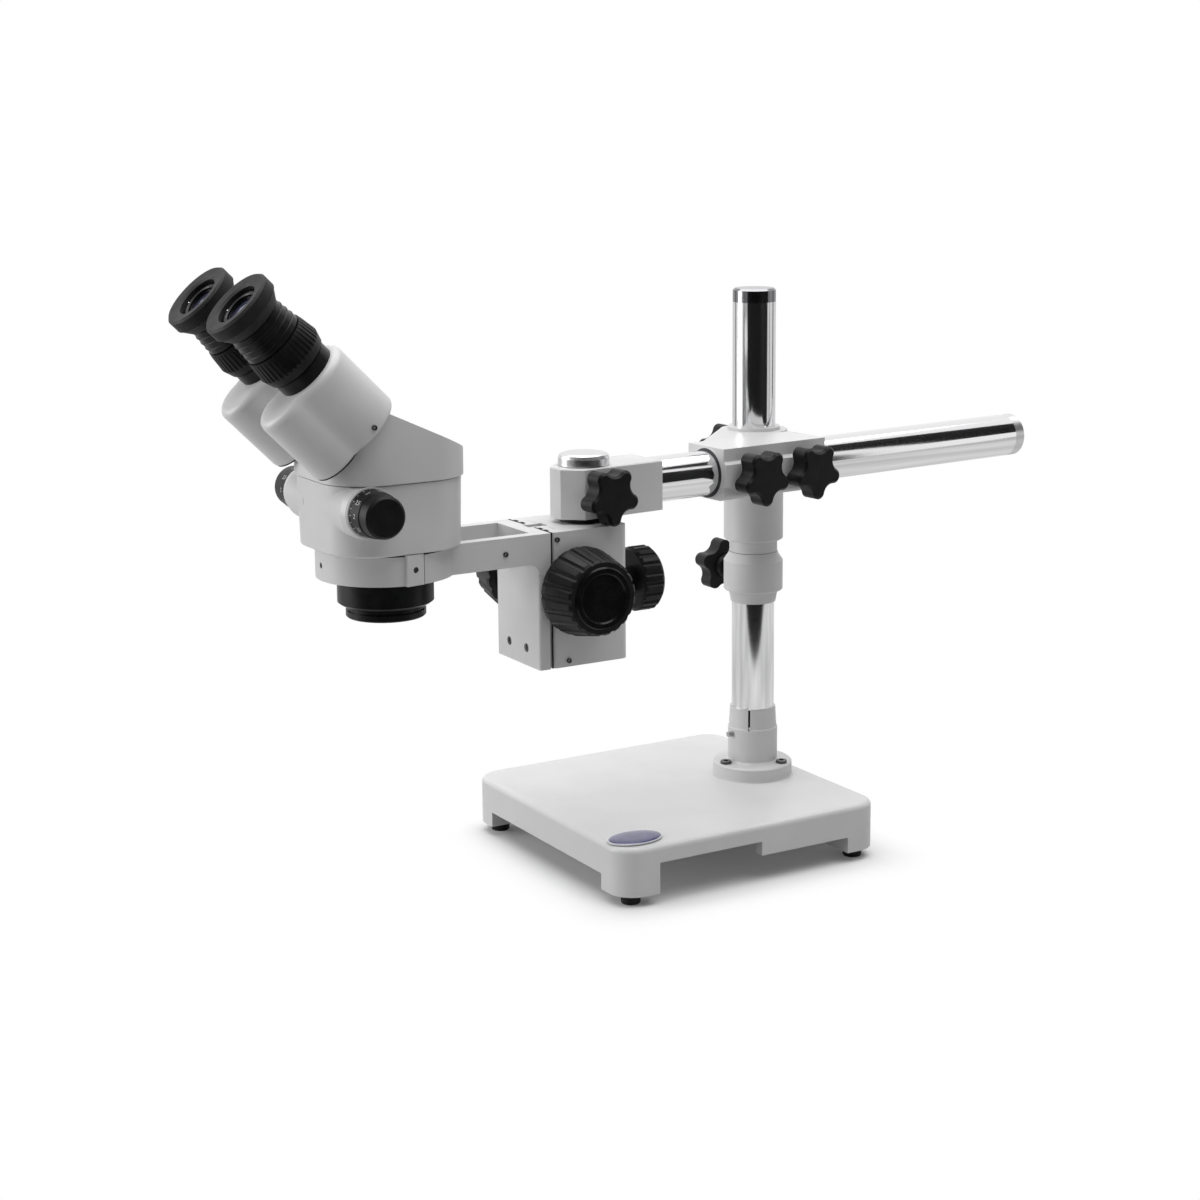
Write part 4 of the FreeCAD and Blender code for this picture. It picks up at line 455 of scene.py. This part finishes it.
def block_flank(side, ahead, height):
    """A point on the flank of the focus mount, so far ahead of the post and so high."""
    return (post_at.x + side * (BLOCK_HALF + SCREW_PROUD), post_at.y - ahead, height)


def housing_flank(side):
    """The screw's place on the outer flank of a prism housing."""
    return eye_place(side, side * (HOUSING_HALF + SCREW_PROUD), 0, HOUSING_SCREW_OUT)


print("post at", [round(v * 1000, 1) for v in post_at],
      "head at", [round(v * 1000, 1) for v in ring_at])

# %% All set screws
ARM_SCREW = (77.3 * MM, 260.8 * MM)  # ahead of the post, and height
GIB_SCREW_TOP = (38.5 * MM, 266.5 * MM)
GIB_SCREW_LOW = (30.4 * MM, 183.2 * MM)
screw_rows = (
    ("arm_screw_right", "carriage", 1, block_flank(1, *ARM_SCREW)),
    ("arm_screw_left", "carriage", -1, block_flank(-1, *ARM_SCREW)),
    ("gib_screw_top_right", "focus_block", 1, block_flank(1, *GIB_SCREW_TOP)),
    ("gib_screw_low_right", "focus_block", 1, block_flank(1, *GIB_SCREW_LOW)),
    ("gib_screw_top_left", "focus_block", -1, block_flank(-1, *GIB_SCREW_TOP)),
    ("prism_screw_right", "prism_right", 1, housing_flank(1)),
    ("prism_screw_left", "prism_left", -1, housing_flank(-1)),
)
for name, body, side, at in screw_rows:
    screw = another(pattern_screw, name)
    set_down(screw, at, (side, 0, 0))
    hand_over(screw, body, screw_steel)
discard(pattern_screw)
print(len(screw_rows), "set screws")

# %% [markdown]
# ### Scale of the zoom knobs
#
# Both zoom knobs carry their magnifications in white, pad-printed round the barrel. A colour
# pattern could stand for the print, but digits need real outlines. So the numbers are text
# made into a mesh, and each point is then laid round the barrel: its height becomes an angle
# and its width stays along the shaft. Ticks between them are planes that are extruded by the
# thickness of the ink, one long and one short, and copied.

# %% Ink
INK = 0.05 * MM
INK_LIFT = 0.03 * MM
ink_white, ink_tree, ink_shader = new_finish("ink_white", 0.55)
ink_tone = two_tone(ink_tree, noise(ink_tree, 2 * MM), (0.55, 0.55, 0.54),
                    (0.68, 0.68, 0.67))
ink_tree.links.new(ink_tone, ink_shader.inputs["Base Color"])


def number_mesh(words, size):
    """A number as a thin mesh, centred, its front towards +Z."""
    deselect()
    bpy.ops.object.text_add(location=(0, 0, 0))
    number = bpy.context.object
    number.data.body = words
    number.data.size = size
    number.data.extrude = INK / 2
    number.data.align_x = "CENTER"
    number.data.align_y = "CENTER"
    bpy.ops.object.convert(target="MESH")
    return bpy.context.object


def tick_mesh(length, width):
    """A short printed line along X."""
    deselect()
    bpy.ops.mesh.primitive_plane_add(size=1.0, location=(0, 0, 0))
    tick = bpy.context.object
    tick.data.transform(Matrix.Diagonal((length, width, 1, 1)))
    bpy.ops.object.mode_set(mode="EDIT")
    bpy.ops.mesh.select_all(action="SELECT")
    bpy.ops.mesh.extrude_region_move(TRANSFORM_OT_translate={"value": (0, 0, INK)})
    bpy.ops.mesh.normals_make_consistent(inside=False)
    bpy.ops.object.mode_set(mode="OBJECT")
    return tick


print("ink:", ink_white.name, "at", INK, "m")

# %% [markdown]
# The barrel of a zoom knob tapers a little towards its grip. Its radius at a point is found
# from how far that point is from the root, and the ink follows it.

# %% Ink laid on the barrel
BARREL_ROOT_R = 15.3 * MM
BARREL_GRIP_R = 14.6 * MM
BARREL_L = 12.0 * MM


def barrel_radius(x, root):
    """The radius of a zoom knob's barrel at a place along the shaft."""
    share = abs(x - root) / BARREL_L
    return BARREL_ROOT_R + (BARREL_GRIP_R - BARREL_ROOT_R) * share


def wrap(piece, along, angle, axis_at, root):
    """Lays a flat piece round a barrel on the X axis; the angle counts from the front upwards."""
    for point in piece.data.vertices:
        x = along + point.co.x
        radius = barrel_radius(x, root)
        turn = angle + point.co.y / radius
        out = radius + INK_LIFT + point.co.z
        point.co = (x, axis_at.y - out * math.cos(turn), axis_at.z + out * math.sin(turn))
    piece.data.update()


print("barrel from", BARREL_ROOT_R, "to", BARREL_GRIP_R, "m")

# %% Both scales
ZOOM_STEPS = ("0.7", "1", "1.5", "2", "2.5", "3", "3.5", "4", "4.5")
MIDDLE_STEP = 4
MIDDLE_DEG, STEP_DEG = 35, 34
DIGIT_SIZE = 4.2 * MM
DIGIT_IN = 7.2 * MM  # how far the digits stand in from the root
TICK_IN = 1.9 * MM
TICK_W = 0.35 * MM
step_tick = tick_mesh(2.0 * MM, TICK_W)
half_tick = tick_mesh(1.2 * MM, TICK_W)
for side, word in SIDES:
    low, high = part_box("zoom_knob_" + word)
    axis_at = middle("zoom_knob_" + word)
    root = low[0] if side > 0 else high[0]
    marks = []
    for i, step in enumerate(ZOOM_STEPS):
        angle = math.radians(MIDDLE_DEG + STEP_DEG * (i - MIDDLE_STEP))
        number = number_mesh(step, DIGIT_SIZE)
        wrap(number, root + side * DIGIT_IN, angle, axis_at, root)
        marks.append(number)
        for tick, part in ((step_tick, 0), (half_tick, 0.5)):
            mark = another(tick, "tick")
            turn = angle + math.radians(STEP_DEG * part)
            wrap(mark, root + side * TICK_IN, turn, axis_at, root)
            marks.append(mark)
    scale = join(marks, "zoom_scale_" + word)
    hand_over(scale, "zoom_drive", ink_white)
    print(scale.name, len(scale.data.polygons), "faces")
discard(step_tick, half_tick)

# %% [markdown]
# ### Inside the eyecups
#
# A black ring screwed over the eye lens holds it in. It could be cut from a flat disc, but
# the real one is rounded, so it is a torus that is flattened until it looks turned. It has two
# holes for the spanner, and in each hole sits a bright pin.

# %% One lens ring and its pins
RING_R, RING_TUBE_R, RING_FLAT = 12.0 * MM, 1.7 * MM, 0.5
HOLE_AT_R, HOLE_R = 12.3 * MM, 0.75 * MM
CUTTER_Z, CUTTER_L = 1.2 * MM, 1.6 * MM
PIN_R, PIN_Z = 0.62 * MM, 0.55 * MM
RING_OUT = 58.9 * MM  # how far out of the housing the ring sits
HOLE_TURNS = (0.35, 0.35 + math.pi)


def hole_place(turn, height):
    """The middle of a spanner hole at a height over the ring's plane."""
    return (HOLE_AT_R * math.cos(turn), HOLE_AT_R * math.sin(turn), height)


deselect()
bpy.ops.mesh.primitive_torus_add(major_radius=RING_R, minor_radius=RING_TUBE_R,
                                 major_segments=96, minor_segments=12)
pattern_ring = bpy.context.object
pattern_ring.data.transform(Matrix.Diagonal((1, 1, RING_FLAT, 1)))
for turn in HOLE_TURNS:
    bpy.ops.mesh.primitive_cylinder_add(vertices=24, radius=HOLE_R, depth=CUTTER_L,
                                        location=hole_place(turn, CUTTER_Z))
    cut_out(pattern_ring, bpy.context.object)
smooth(pattern_ring, 40)
pins = []
for turn in HOLE_TURNS:
    deselect()
    bpy.ops.mesh.primitive_uv_sphere_add(segments=20, ring_count=10, radius=PIN_R,
                                         location=hole_place(turn, PIN_Z))
    bpy.ops.object.shade_smooth()
    bpy.ops.object.transform_apply(location=True, rotation=True, scale=True)
    pins.append(bpy.context.object)
pattern_pins = join(pins, "pattern_pins")
print("lens ring with", len(pattern_ring.data.polygons), "faces")

# %% Both lens rings
for side, word in SIDES:
    at = eye_place(side, 0, 0, RING_OUT)
    ring = another(pattern_ring, "lens_ring_" + word)
    set_down(ring, at, eye_out)
    hand_over(ring, "prism_" + word, anodised_black)
    pin_pair = another(pattern_pins, "lens_pins_" + word)
    set_down(pin_pair, at, eye_out)
    hand_over(pin_pair, "prism_" + word, cap_chrome)
    print(ring.name, "at", [round(v * 1000, 1) for v in at])
discard(pattern_ring, pattern_pins)

# %% [markdown]
# ### Rings turned on the eyepieces
#
# Between the knurled ring and the eyecup the eyepiece barrel has three fine beads, turned
# from the solid. A bump could fake them from the front, but they show on the outline. Each is
# a thin torus sunk halfway into the barrel, wide enough to catch light.

# %% Beads
BEAD_ROWS = ((34.0 * MM, 19.64 * MM), (38.5 * MM, 19.25 * MM), (43.0 * MM, 18.86 * MM))
BEAD_TUBE_R = 0.5 * MM
beads = []
for height, radius in BEAD_ROWS:
    deselect()
    bpy.ops.mesh.primitive_torus_add(major_radius=radius, minor_radius=BEAD_TUBE_R,
                                     major_segments=120, minor_segments=10,
                                     location=(0, 0, height))
    bpy.ops.object.transform_apply(location=True, rotation=True, scale=True)
    bpy.ops.object.shade_smooth()
    beads.append(bpy.context.object)
pattern_beads = join(beads, "pattern_beads")
for side, word in SIDES:
    bead_set = another(pattern_beads, "barrel_beads_" + word)
    set_down(bead_set, eye_place(side, 0, 0, 0), eye_out)
    hand_over(bead_set, "prism_" + word, anodised_black)
discard(pattern_beads)
print(len(BEAD_ROWS), "beads on both barrels")

# %% [markdown]
# ### Painted shade in the joints
#
# Where castings meet, the joints lie in thin dark lines of shade: under the head where it
# overhangs its holder, under each prism housing, along the edge of the focus block and in the
# slit of the column's socket. Dark paint in the joint would need the castings' own meshes cut
# up. So each line of shade is painted: a strip or disc of dark material that stands a tenth of
# a millimetre out of its joint, and moves with the piece that carries it.

# %% Discs and rings of painted shade
# Dark material for the painted shade in the joints.
joint_shade_black = moulded("joint_shade_black", grey(0.010), grey(0.016), 0.9, 0.4 * MM, 80 * MICRON)
SHADE_RING_R, SHADE_RING_HOLE_R, SHADE_RING_H, SHADE_RING_Z = 45.25 * MM, 44.4 * MM, 0.9 * MM, 269.55 * MM
SHADE_DISC_R, SHADE_DISC_H = 18.2 * MM, 0.8 * MM
SHADE_DISC_UP, SHADE_DISC_OUT = -25.0 * MM, -53.0 * MM


def disc(name, radius, thickness, hole=0.0):
    """A flat disc, or a ring when it has a hole, standing on z = 0."""
    deselect()
    bpy.ops.mesh.primitive_cylinder_add(vertices=128, radius=radius, depth=thickness,
                                        location=(0, 0, thickness / 2))
    piece = bpy.context.object
    piece.name = name
    bpy.ops.object.transform_apply(location=True, rotation=True, scale=True)
    if hole:
        bpy.ops.mesh.primitive_cylinder_add(vertices=128, radius=hole, depth=4 * thickness,
                                            location=(0, 0, 0))
        cut_out(piece, bpy.context.object)
    smooth(piece)
    return piece


# A dark ring paints the shade under the head where it overhangs its holder.
shade_ring = disc("head_shade_ring", SHADE_RING_R, SHADE_RING_H, SHADE_RING_HOLE_R)
shade_ring.data.transform(Matrix.Translation((ring_at.x, ring_at.y, SHADE_RING_Z)))
hand_over(shade_ring, "carriage", joint_shade_black)
pattern_disc = disc("pattern_disc", SHADE_DISC_R, SHADE_DISC_H)
# Dark discs paint the shade under each prism housing.
for side, word in SIDES:
    shade_disc = another(pattern_disc, "prism_shade_disc_" + word)
    set_down(shade_disc, eye_place(side, 0, SHADE_DISC_UP, SHADE_DISC_OUT), eye_out)
    hand_over(shade_disc, "prism_" + word, joint_shade_black)
discard(pattern_disc)
# The ring and the discs are painted shade.
print("felt ring and friction discs round", [round(v * 1000, 1) for v in ring_at])

# %% [markdown]
# The strips of painted shade are bars with broken edges. The upper bar along the block is in
# two, because the rack passes between them when the carriage is raised.

# %% Strips of painted shade along the focus block
def strip(size):
    """A thin bar with broken edges, its middle at the origin."""
    deselect()
    bpy.ops.mesh.primitive_cube_add(size=1.0, location=(0, 0, 0))
    bar = bpy.context.object
    bar.data.transform(Matrix.Diagonal((*size, 1)))
    bpy.ops.object.mode_set(mode="EDIT")
    bpy.ops.mesh.select_all(action="SELECT")
    bpy.ops.mesh.bevel(offset=min(size) * 0.25, segments=2)
    bpy.ops.object.mode_set(mode="OBJECT")
    return bar


block_low, block_high = (Vector(corner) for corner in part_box("focus_housing"))
SHADE_STRIP_T = 0.5 * MM
SHADE_STRIP_IN = 0.12 * MM  # how deep the middle of a bar sits in the block
TAB_IN = 0.14 * MM
TOP_BAR_AT = 18.2 * MM
TABS_AT = (-22.0 * MM, -13.0 * MM, 12.0 * MM, 20.0 * MM)
front = block_low.y + 0.35 * MM
side_z = (block_low.z + block_high.z) / 2
top_z = block_high.z - SHADE_STRIP_IN
side_bar = strip((SHADE_STRIP_T, 1.0 * MM, block_high.z - block_low.z - 0.6 * MM))
top_bar = strip((23.0 * MM, 1.3 * MM, SHADE_STRIP_T))
tab = strip((5.0 * MM, 3.2 * MM, SHADE_STRIP_T))
shade_strip_rows = [
    (side_bar, (block_high.x - SHADE_STRIP_IN, front, side_z)),
    (side_bar, (block_low.x + SHADE_STRIP_IN, front, side_z)),
    (top_bar, (post_at.x + TOP_BAR_AT, front + 0.3 * MM, top_z)),
    (top_bar, (post_at.x - TOP_BAR_AT, front + 0.3 * MM, top_z)),
]
for x in TABS_AT:
    shade_strip_rows.append((tab, (post_at.x + x, front + 1.4 * MM, block_high.z - TAB_IN)))
# Dark strips paint the shade along the focus block's edges and in the slots on its top.
shade_strips = []
for bar, at in shade_strip_rows:
    part = another(bar, "shade_strip_part")
    part.data.transform(Matrix.Translation(at))
    shade_strips.append(part)
discard(side_bar, top_bar, tab)
hand_over(join(shade_strips, "block_shade_strips"), "focus_block", joint_shade_black)
# The strips are painted shade.
print("wiper of", len(shade_strip_rows), "strips")

# %% [markdown]
# The column's socket is split at its tip, and the shade in its slit shows as a thin dark
# upright line. One more dark strip paints that shade, turned about the column until it lies in
# the slit.

# %% Painted shade in the socket's slit
SLIT_SHADE_TURN = math.radians(-43.0)
SLIT_SHADE_R, SLIT_SHADE_Z = 16.35 * MM, 89.0 * MM
column_at = middle("column_tube")
slit_shade_place = Matrix.Translation((column_at.x + SLIT_SHADE_R * math.cos(SLIT_SHADE_TURN),
                                 column_at.y + SLIT_SHADE_R * math.sin(SLIT_SHADE_TURN), SLIT_SHADE_Z))
# A dark strip paints the shade deep in the slit.
slit_shade_strip = strip((0.4 * MM, 1.5 * MM, 13.0 * MM))
slit_shade_strip.name = "slit_shade_strip"
slit_shade_strip.data.transform(slit_shade_place @ Matrix.Rotation(SLIT_SHADE_TURN, 4, "Z"))
hand_over(slit_shade_strip, "stand", joint_shade_black)
# The strip is painted shade in the slit.
print("seal in the slit of the socket")

# %% [markdown]
# ### Plain oval plate
#
# The corner of the base carries a small domed oval plate, plain here: a pale rim and a
# violet-blue field under clear resin. A flattened ball would be too round for it. A cylinder
# is drawn out to an oval instead, and insets that rise a little each time give it a flat
# crown with a crisp rim. The field is every face above the rim.

# %% Finishes of the plate
plate_blue, plate_tree, plate_shader = new_finish("plate_blue", 0.22)
plate_tone = two_tone(plate_tree, noise(plate_tree, 6 * MM), (0.028, 0.026, 0.11),
                      (0.055, 0.05, 0.17))
plate_tree.links.new(plate_tone, plate_shader.inputs["Base Color"])
plate_shader.inputs["Coat Weight"].default_value = 0.3
plate_shader.inputs["Coat Roughness"].default_value = 0.06
plate_rim = polished("plate_rim", (0.62, 0.62, 0.66), 0.3, NO_LINES, 5 * MICRON)
print("plate:", plate_blue.name, plate_rim.name)

# %% The plate
BASE_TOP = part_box("base_plate")[1][2]
PLATE_HALF_X, PLATE_HALF_Y, PLATE_H = 14.0 * MM, 21.0 * MM, 0.8 * MM
PLATE_AT = (90.0 * MM, -88.7 * MM, BASE_TOP + PLATE_H / 2)
FIELD_FROM = 0.42 * MM
CROWN_ROWS = ((0.9, 0.0), (0.5, 0.35), (1.8, 0.3), (3.0, 0.25), (3.0, 0.1))  # inset and rise, mm
deselect()
bpy.ops.mesh.primitive_cylinder_add(vertices=96, radius=1.0, depth=1.0, location=(0, 0, 0))
plate = bpy.context.object
plate.name = "blank_plate"
plate.data.transform(Matrix.Diagonal((PLATE_HALF_X, PLATE_HALF_Y, PLATE_H, 1)))
pick_faces(plate, lambda at, normal: normal.z > 0.9)
for border, rise in CROWN_ROWS:
    bpy.ops.mesh.inset(thickness=border * MM)
    bpy.ops.transform.translate(value=(0, 0, rise * MM))
bpy.ops.object.mode_set(mode="OBJECT")
plate.data.materials.append(plate_rim)
plate.data.materials.append(plate_blue)
for face in plate.data.polygons:
    face.material_index = 1 if face.center.z > FIELD_FROM else 0
smooth(plate, 35)
plate.data.transform(Matrix.Translation(PLATE_AT))
hand_over(plate, "stand")
print("plate of", len(plate.data.polygons), "faces at", BASE_TOP)

# %% [markdown]
# ## Floor, light and camera
#
# The photograph is a studio shot on white with a very soft shadow. More light on a white
# floor would burn the object out with it. So the floor glows by itself for the camera and for
# reflections, where a strength of 1 is white, and stays a plain matt surface for the lamps.
# Under the base the glow fades away, which leaves the soft shadow that the object stands in.

# %% Helpers for the floor
def light_path(tree, kinds):
    """One where the ray that asks is of one of the kinds, and nought elsewhere."""
    rays = tree.nodes.new("ShaderNodeLightPath")
    total = rays.outputs[kinds[0]]
    for kind in kinds[1:]:
        either = tree.nodes.new("ShaderNodeMath")
        either.operation = "MAXIMUM"
        tree.links.new(total, either.inputs[0])
        tree.links.new(rays.outputs[kind], either.inputs[1])
        total = either.outputs[0]
    return total


def vector_step(tree, operation, value, second=None):
    """One Vector Math node on a value, with a fixed second value where it takes one."""
    node = tree.nodes.new("ShaderNodeVectorMath")
    node.operation = operation
    tree.links.new(value, node.inputs[0])
    if second is not None:
        node.inputs[1].default_value = second
    return node.outputs["Value" if operation == "LENGTH" else "Vector"]


def from_square(tree, half_side):
    """How far a point of the floor is from a square round the origin, nought inside it."""
    place = tree.nodes.new("ShaderNodeTexCoord")
    sides = vector_step(tree, "ABSOLUTE", place.outputs["Object"])
    beyond = vector_step(tree, "SUBTRACT", sides, (half_side, half_side, 0))
    outside = vector_step(tree, "MAXIMUM", beyond, (0, 0, 0))
    return vector_step(tree, "LENGTH", outside)


def fade_in(tree, distance, width, start):
    """Rises softly from start to one over a width."""
    share = tree.nodes.new("ShaderNodeMapRange")
    share.interpolation_type = "SMOOTHSTEP"
    share.inputs["From Min"].default_value = 0.0
    share.inputs["From Max"].default_value = width
    share.inputs["To Min"].default_value = start
    share.inputs["To Max"].default_value = 1.0
    tree.links.new(distance, share.inputs["Value"])
    return share.outputs["Result"]


SEEN_RAYS = ("Is Camera Ray", "Is Glossy Ray", "Is Transmission Ray")
print("helpers for the floor are ready")

# %% [markdown]
# Two more things make the floor behave as in the studio. It gives back less light from below
# than white would, because the photograph's undersides are darker than a wide white floor
# leaves them. And its glow is uneven for reflections alone, so that the mirror-bright tubes
# show soft streaks and not one even white.

# %% Floor
FLOOR_SIDE = 12.0
SHADE_HALF, SHADE_FADE, SHADE_GLOW = 0.1, 0.055, 0.05
FLOOR_WHITE, FLOOR_BOUNCE = 0.86, 0.42
MATT_SIZE = 0.5
STREAK_SIZE, STREAK_LOW, STREAK_HIGH = 0.3, 0.35, 1.1


def floor_white(half_side, fade, under_glow):
    """White that glows to the camera and in reflections, but not under the square base."""
    material, tree, shader = new_finish("floor_white", 0.9)
    bounce = tree.nodes.new("ShaderNodeMix")
    bounce.data_type = "RGBA"
    bounce.inputs["A"].default_value = (*grey(FLOOR_WHITE), 1)
    bounce.inputs["B"].default_value = (*grey(FLOOR_BOUNCE), 1)
    tree.links.new(light_path(tree, ("Is Diffuse Ray",)), bounce.inputs["Factor"])
    tree.links.new(bounce.outputs["Result"], shader.inputs["Base Color"])
    matt = spread(tree, noise(tree, MATT_SIZE), 0.88, 0.92)
    tree.links.new(matt, shader.inputs["Roughness"])
    part = tree.nodes.new("ShaderNodeMath")
    part.operation = "MULTIPLY"
    tree.links.new(light_path(tree, SEEN_RAYS), part.inputs[0])
    tree.links.new(fade_in(tree, from_square(tree, half_side), fade, under_glow),
                   part.inputs[1])
    tone = tree.nodes.new("ShaderNodeMix")
    tone.inputs["A"].default_value = 1.0
    tree.links.new(light_path(tree, ("Is Glossy Ray",)), tone.inputs["Factor"])
    streaks = spread(tree, noise(tree, STREAK_SIZE, 1.0), STREAK_LOW, STREAK_HIGH)
    tree.links.new(streaks, tone.inputs["B"])
    glow = tree.nodes.new("ShaderNodeEmission")
    tree.links.new(tone.outputs["Result"], glow.inputs["Strength"])
    mix = tree.nodes.new("ShaderNodeMixShader")
    tree.links.new(part.outputs[0], mix.inputs["Fac"])
    tree.links.new(shader.outputs["BSDF"], mix.inputs[1])
    tree.links.new(glow.outputs["Emission"], mix.inputs[2])
    tree.links.new(mix.outputs["Shader"], tree.nodes["Material Output"].inputs["Surface"])
    return material


deselect()
bpy.ops.mesh.primitive_plane_add(size=FLOOR_SIDE, location=(0, 0, 0))
floor = bpy.context.object
floor.name = "floor"
floor.data.materials.append(floor_white(SHADE_HALF, SHADE_FADE, SHADE_GLOW))
print("floor of", FLOOR_SIDE, "m")

# %% [markdown]
# Chrome shows its surroundings, and in a white room it would look like white paint. A studio
# hangs black cards round the object for this: the tubes then carry the long dark stripes that
# make them read as metal. Dark stripes painted on the tubes would stay put when the view
# changes, and cards give true reflections. They are seen only in reflections, so they take no
# light away. A wide black one stands before the column, and narrower ones, one of them grey,
# serve the boom. Two grey ones darken the column's edges against the white behind it.

# %% Dark cards
card_black = moulded("card_black", grey(0.006), grey(0.010), 0.9, 10 * MM, 100 * MICRON)
card_grey = moulded("card_grey", grey(0.05), grey(0.07), 0.9, 10 * MM, 100 * MICRON)
COLUMN_AT = (0.0, 0.0725)
BOOM_REAR_AT = (0.045, 0.25)
BOOM_FRONT_AT = (0.066, -0.03)


def hang_card(name, start, azimuth, distance, width, low, high, finish):
    """An upright card between two heights, at an azimuth and a distance from a point."""
    turn = math.radians(azimuth)
    place = (start[0] + distance * math.cos(turn), start[1] + distance * math.sin(turn))
    deselect()
    bpy.ops.mesh.primitive_plane_add(size=1.0, location=(0, 0, 0))
    card = bpy.context.object
    card.name = name
    upright = Matrix.Rotation(turn + math.pi / 2, 4, "Z") @ Matrix.Rotation(math.pi / 2, 4, "X")
    centre = Matrix.Translation((*place, (low + high) / 2))
    card.data.transform(centre @ upright @ Matrix.Diagonal((width, high - low, 1, 1)))
    card.data.materials.append(finish)
    for kind in ("camera", "diffuse", "transmission", "volume_scatter", "shadow"):
        setattr(card, "visible_" + kind, False)


card_rows = (
    # name, start, azimuth in degrees, distance, width, lower and upper edge, finish
    ("front_card", COLUMN_AT, -24, 0.55, 2.9, 0.0, 1.1, card_black),
    ("boom_rear_card", BOOM_REAR_AT, 62, 1.5, 0.8, 0.64, 2.2, card_black),
    ("boom_low_card", BOOM_REAR_AT, 52, 1.5, 0.1, 0.0, 0.26, card_grey),
    ("boom_front_card", BOOM_FRONT_AT, 44, 1.5, 0.3, 0.24, 1.05, card_black),
    ("edge_card_left", COLUMN_AT, -152, 1.5, 0.16, 0.0, 0.9, card_grey),
    ("edge_card_right", COLUMN_AT, 84, 1.5, 0.22, 0.0, 0.9, card_grey),
)
for row in card_rows:
    hang_card(*row)
print(len(card_rows), "cards round the object")

# %% [markdown]
# ### World
#
# The room is white. As a light it would come from all sides and leave no shadow at all, so
# it is full white only for the camera, reflections and glass, and faint as a light.

# %% White room
ROOM_LIGHT = 0.16
world = bpy.data.worlds.new("studio")
bpy.context.scene.world = world
world.use_nodes = True
room = world.node_tree
background = room.nodes["Background"]
background.inputs["Color"].default_value = (1, 1, 1, 1)
level = spread(room, light_path(room, SEEN_RAYS), ROOM_LIGHT, 1.0)
room.links.new(level, background.inputs["Strength"])
print("room light", ROOM_LIGHT)

# %% [markdown]
# ### Lamps
#
# The photograph was lit by a large softbox overhead, which makes every top face bright and
# lets the undersides fall off, with a weaker one from the left. A sun lamp would throw hard
# shadows. Area lamps are soft in proportion to their size, so the main one is very large.
# The small lamp at the right only keeps the right flanks from going dark.

# %% Three softboxes
AIM = (0.05, -0.1, 0.2)


def soft_lamp(name, place, size, power):
    """An area lamp that faces the object."""
    light = bpy.data.lights.new(name, "AREA")
    light.shape = "RECTANGLE"
    light.size, light.size_y = size
    light.energy = power
    lamp = bpy.data.objects.new(name, light)
    bpy.context.scene.collection.objects.link(lamp)
    lamp.location = place
    towards = Vector(AIM) - Vector(place)
    lamp.rotation_euler = towards.to_track_quat("-Z", "Y").to_euler()
    print(name, power, "W")


soft_lamp("top_softbox", (0.1, 0.0, 4.0), (5.5, 5.5), 245)
soft_lamp("left_softbox", (-0.9, -1.7, 0.6), (0.9, 1.2), 17)
soft_lamp("right_softbox", (1.9, 0.5, 0.5), (0.7, 1.0), 1.2)

# %% [markdown]
# ### Camera
#
# The camera was worked out from edges of the stand that can be measured in the photograph. It
# stands to the front right, a little above the boom, and looks slightly down. A camera could
# be aimed at a point with a constraint, but its small roll would be lost, so its axes are
# built by hand from azimuth, pitch and roll. The focal length is in pixels of the picture and
# becomes millimetres on a 36 mm wide sensor.

# %% The camera
PHOTO_SIDE = 1200
SENSOR = 36.0
FOCAL_PIXELS = 2272.33
CAMERA_AT = (1.38757, -0.88274, 0.5534)
AZIMUTH, PITCH, ROLL = 1.03797, 0.18228, -0.00854
SHIFT = (0.0029, -0.0701)


def camera_turn(azimuth, pitch, roll):
    """The axes of a camera turned round Z, tipped down by its pitch and rolled."""
    back = Vector((math.sin(azimuth) * math.cos(pitch),
                   -math.cos(azimuth) * math.cos(pitch), math.sin(pitch)))
    right = Vector((0, 0, 1)).cross(back).normalized()
    up = back.cross(right)
    rolled_right = right * math.cos(roll) + up * math.sin(roll)
    rolled_up = up * math.cos(roll) - right * math.sin(roll)
    return Matrix((rolled_right, rolled_up, back)).transposed().to_4x4()


lens = bpy.data.cameras.new("photo_camera")
lens.sensor_width = SENSOR
lens.lens = FOCAL_PIXELS * SENSOR / PHOTO_SIDE
lens.dof.use_dof = False
lens.shift_x, lens.shift_y = SHIFT
camera = bpy.data.objects.new("photo_camera", lens)
bpy.context.scene.collection.objects.link(camera)
camera.matrix_world = Matrix.Translation(CAMERA_AT) @ camera_turn(AZIMUTH, PITCH, ROLL)
bpy.context.scene.camera = camera
bpy.context.scene.view_settings.view_transform = "Standard"
print("camera at", [round(v, 3) for v in CAMERA_AT], "lens", round(lens.lens, 2), "mm")
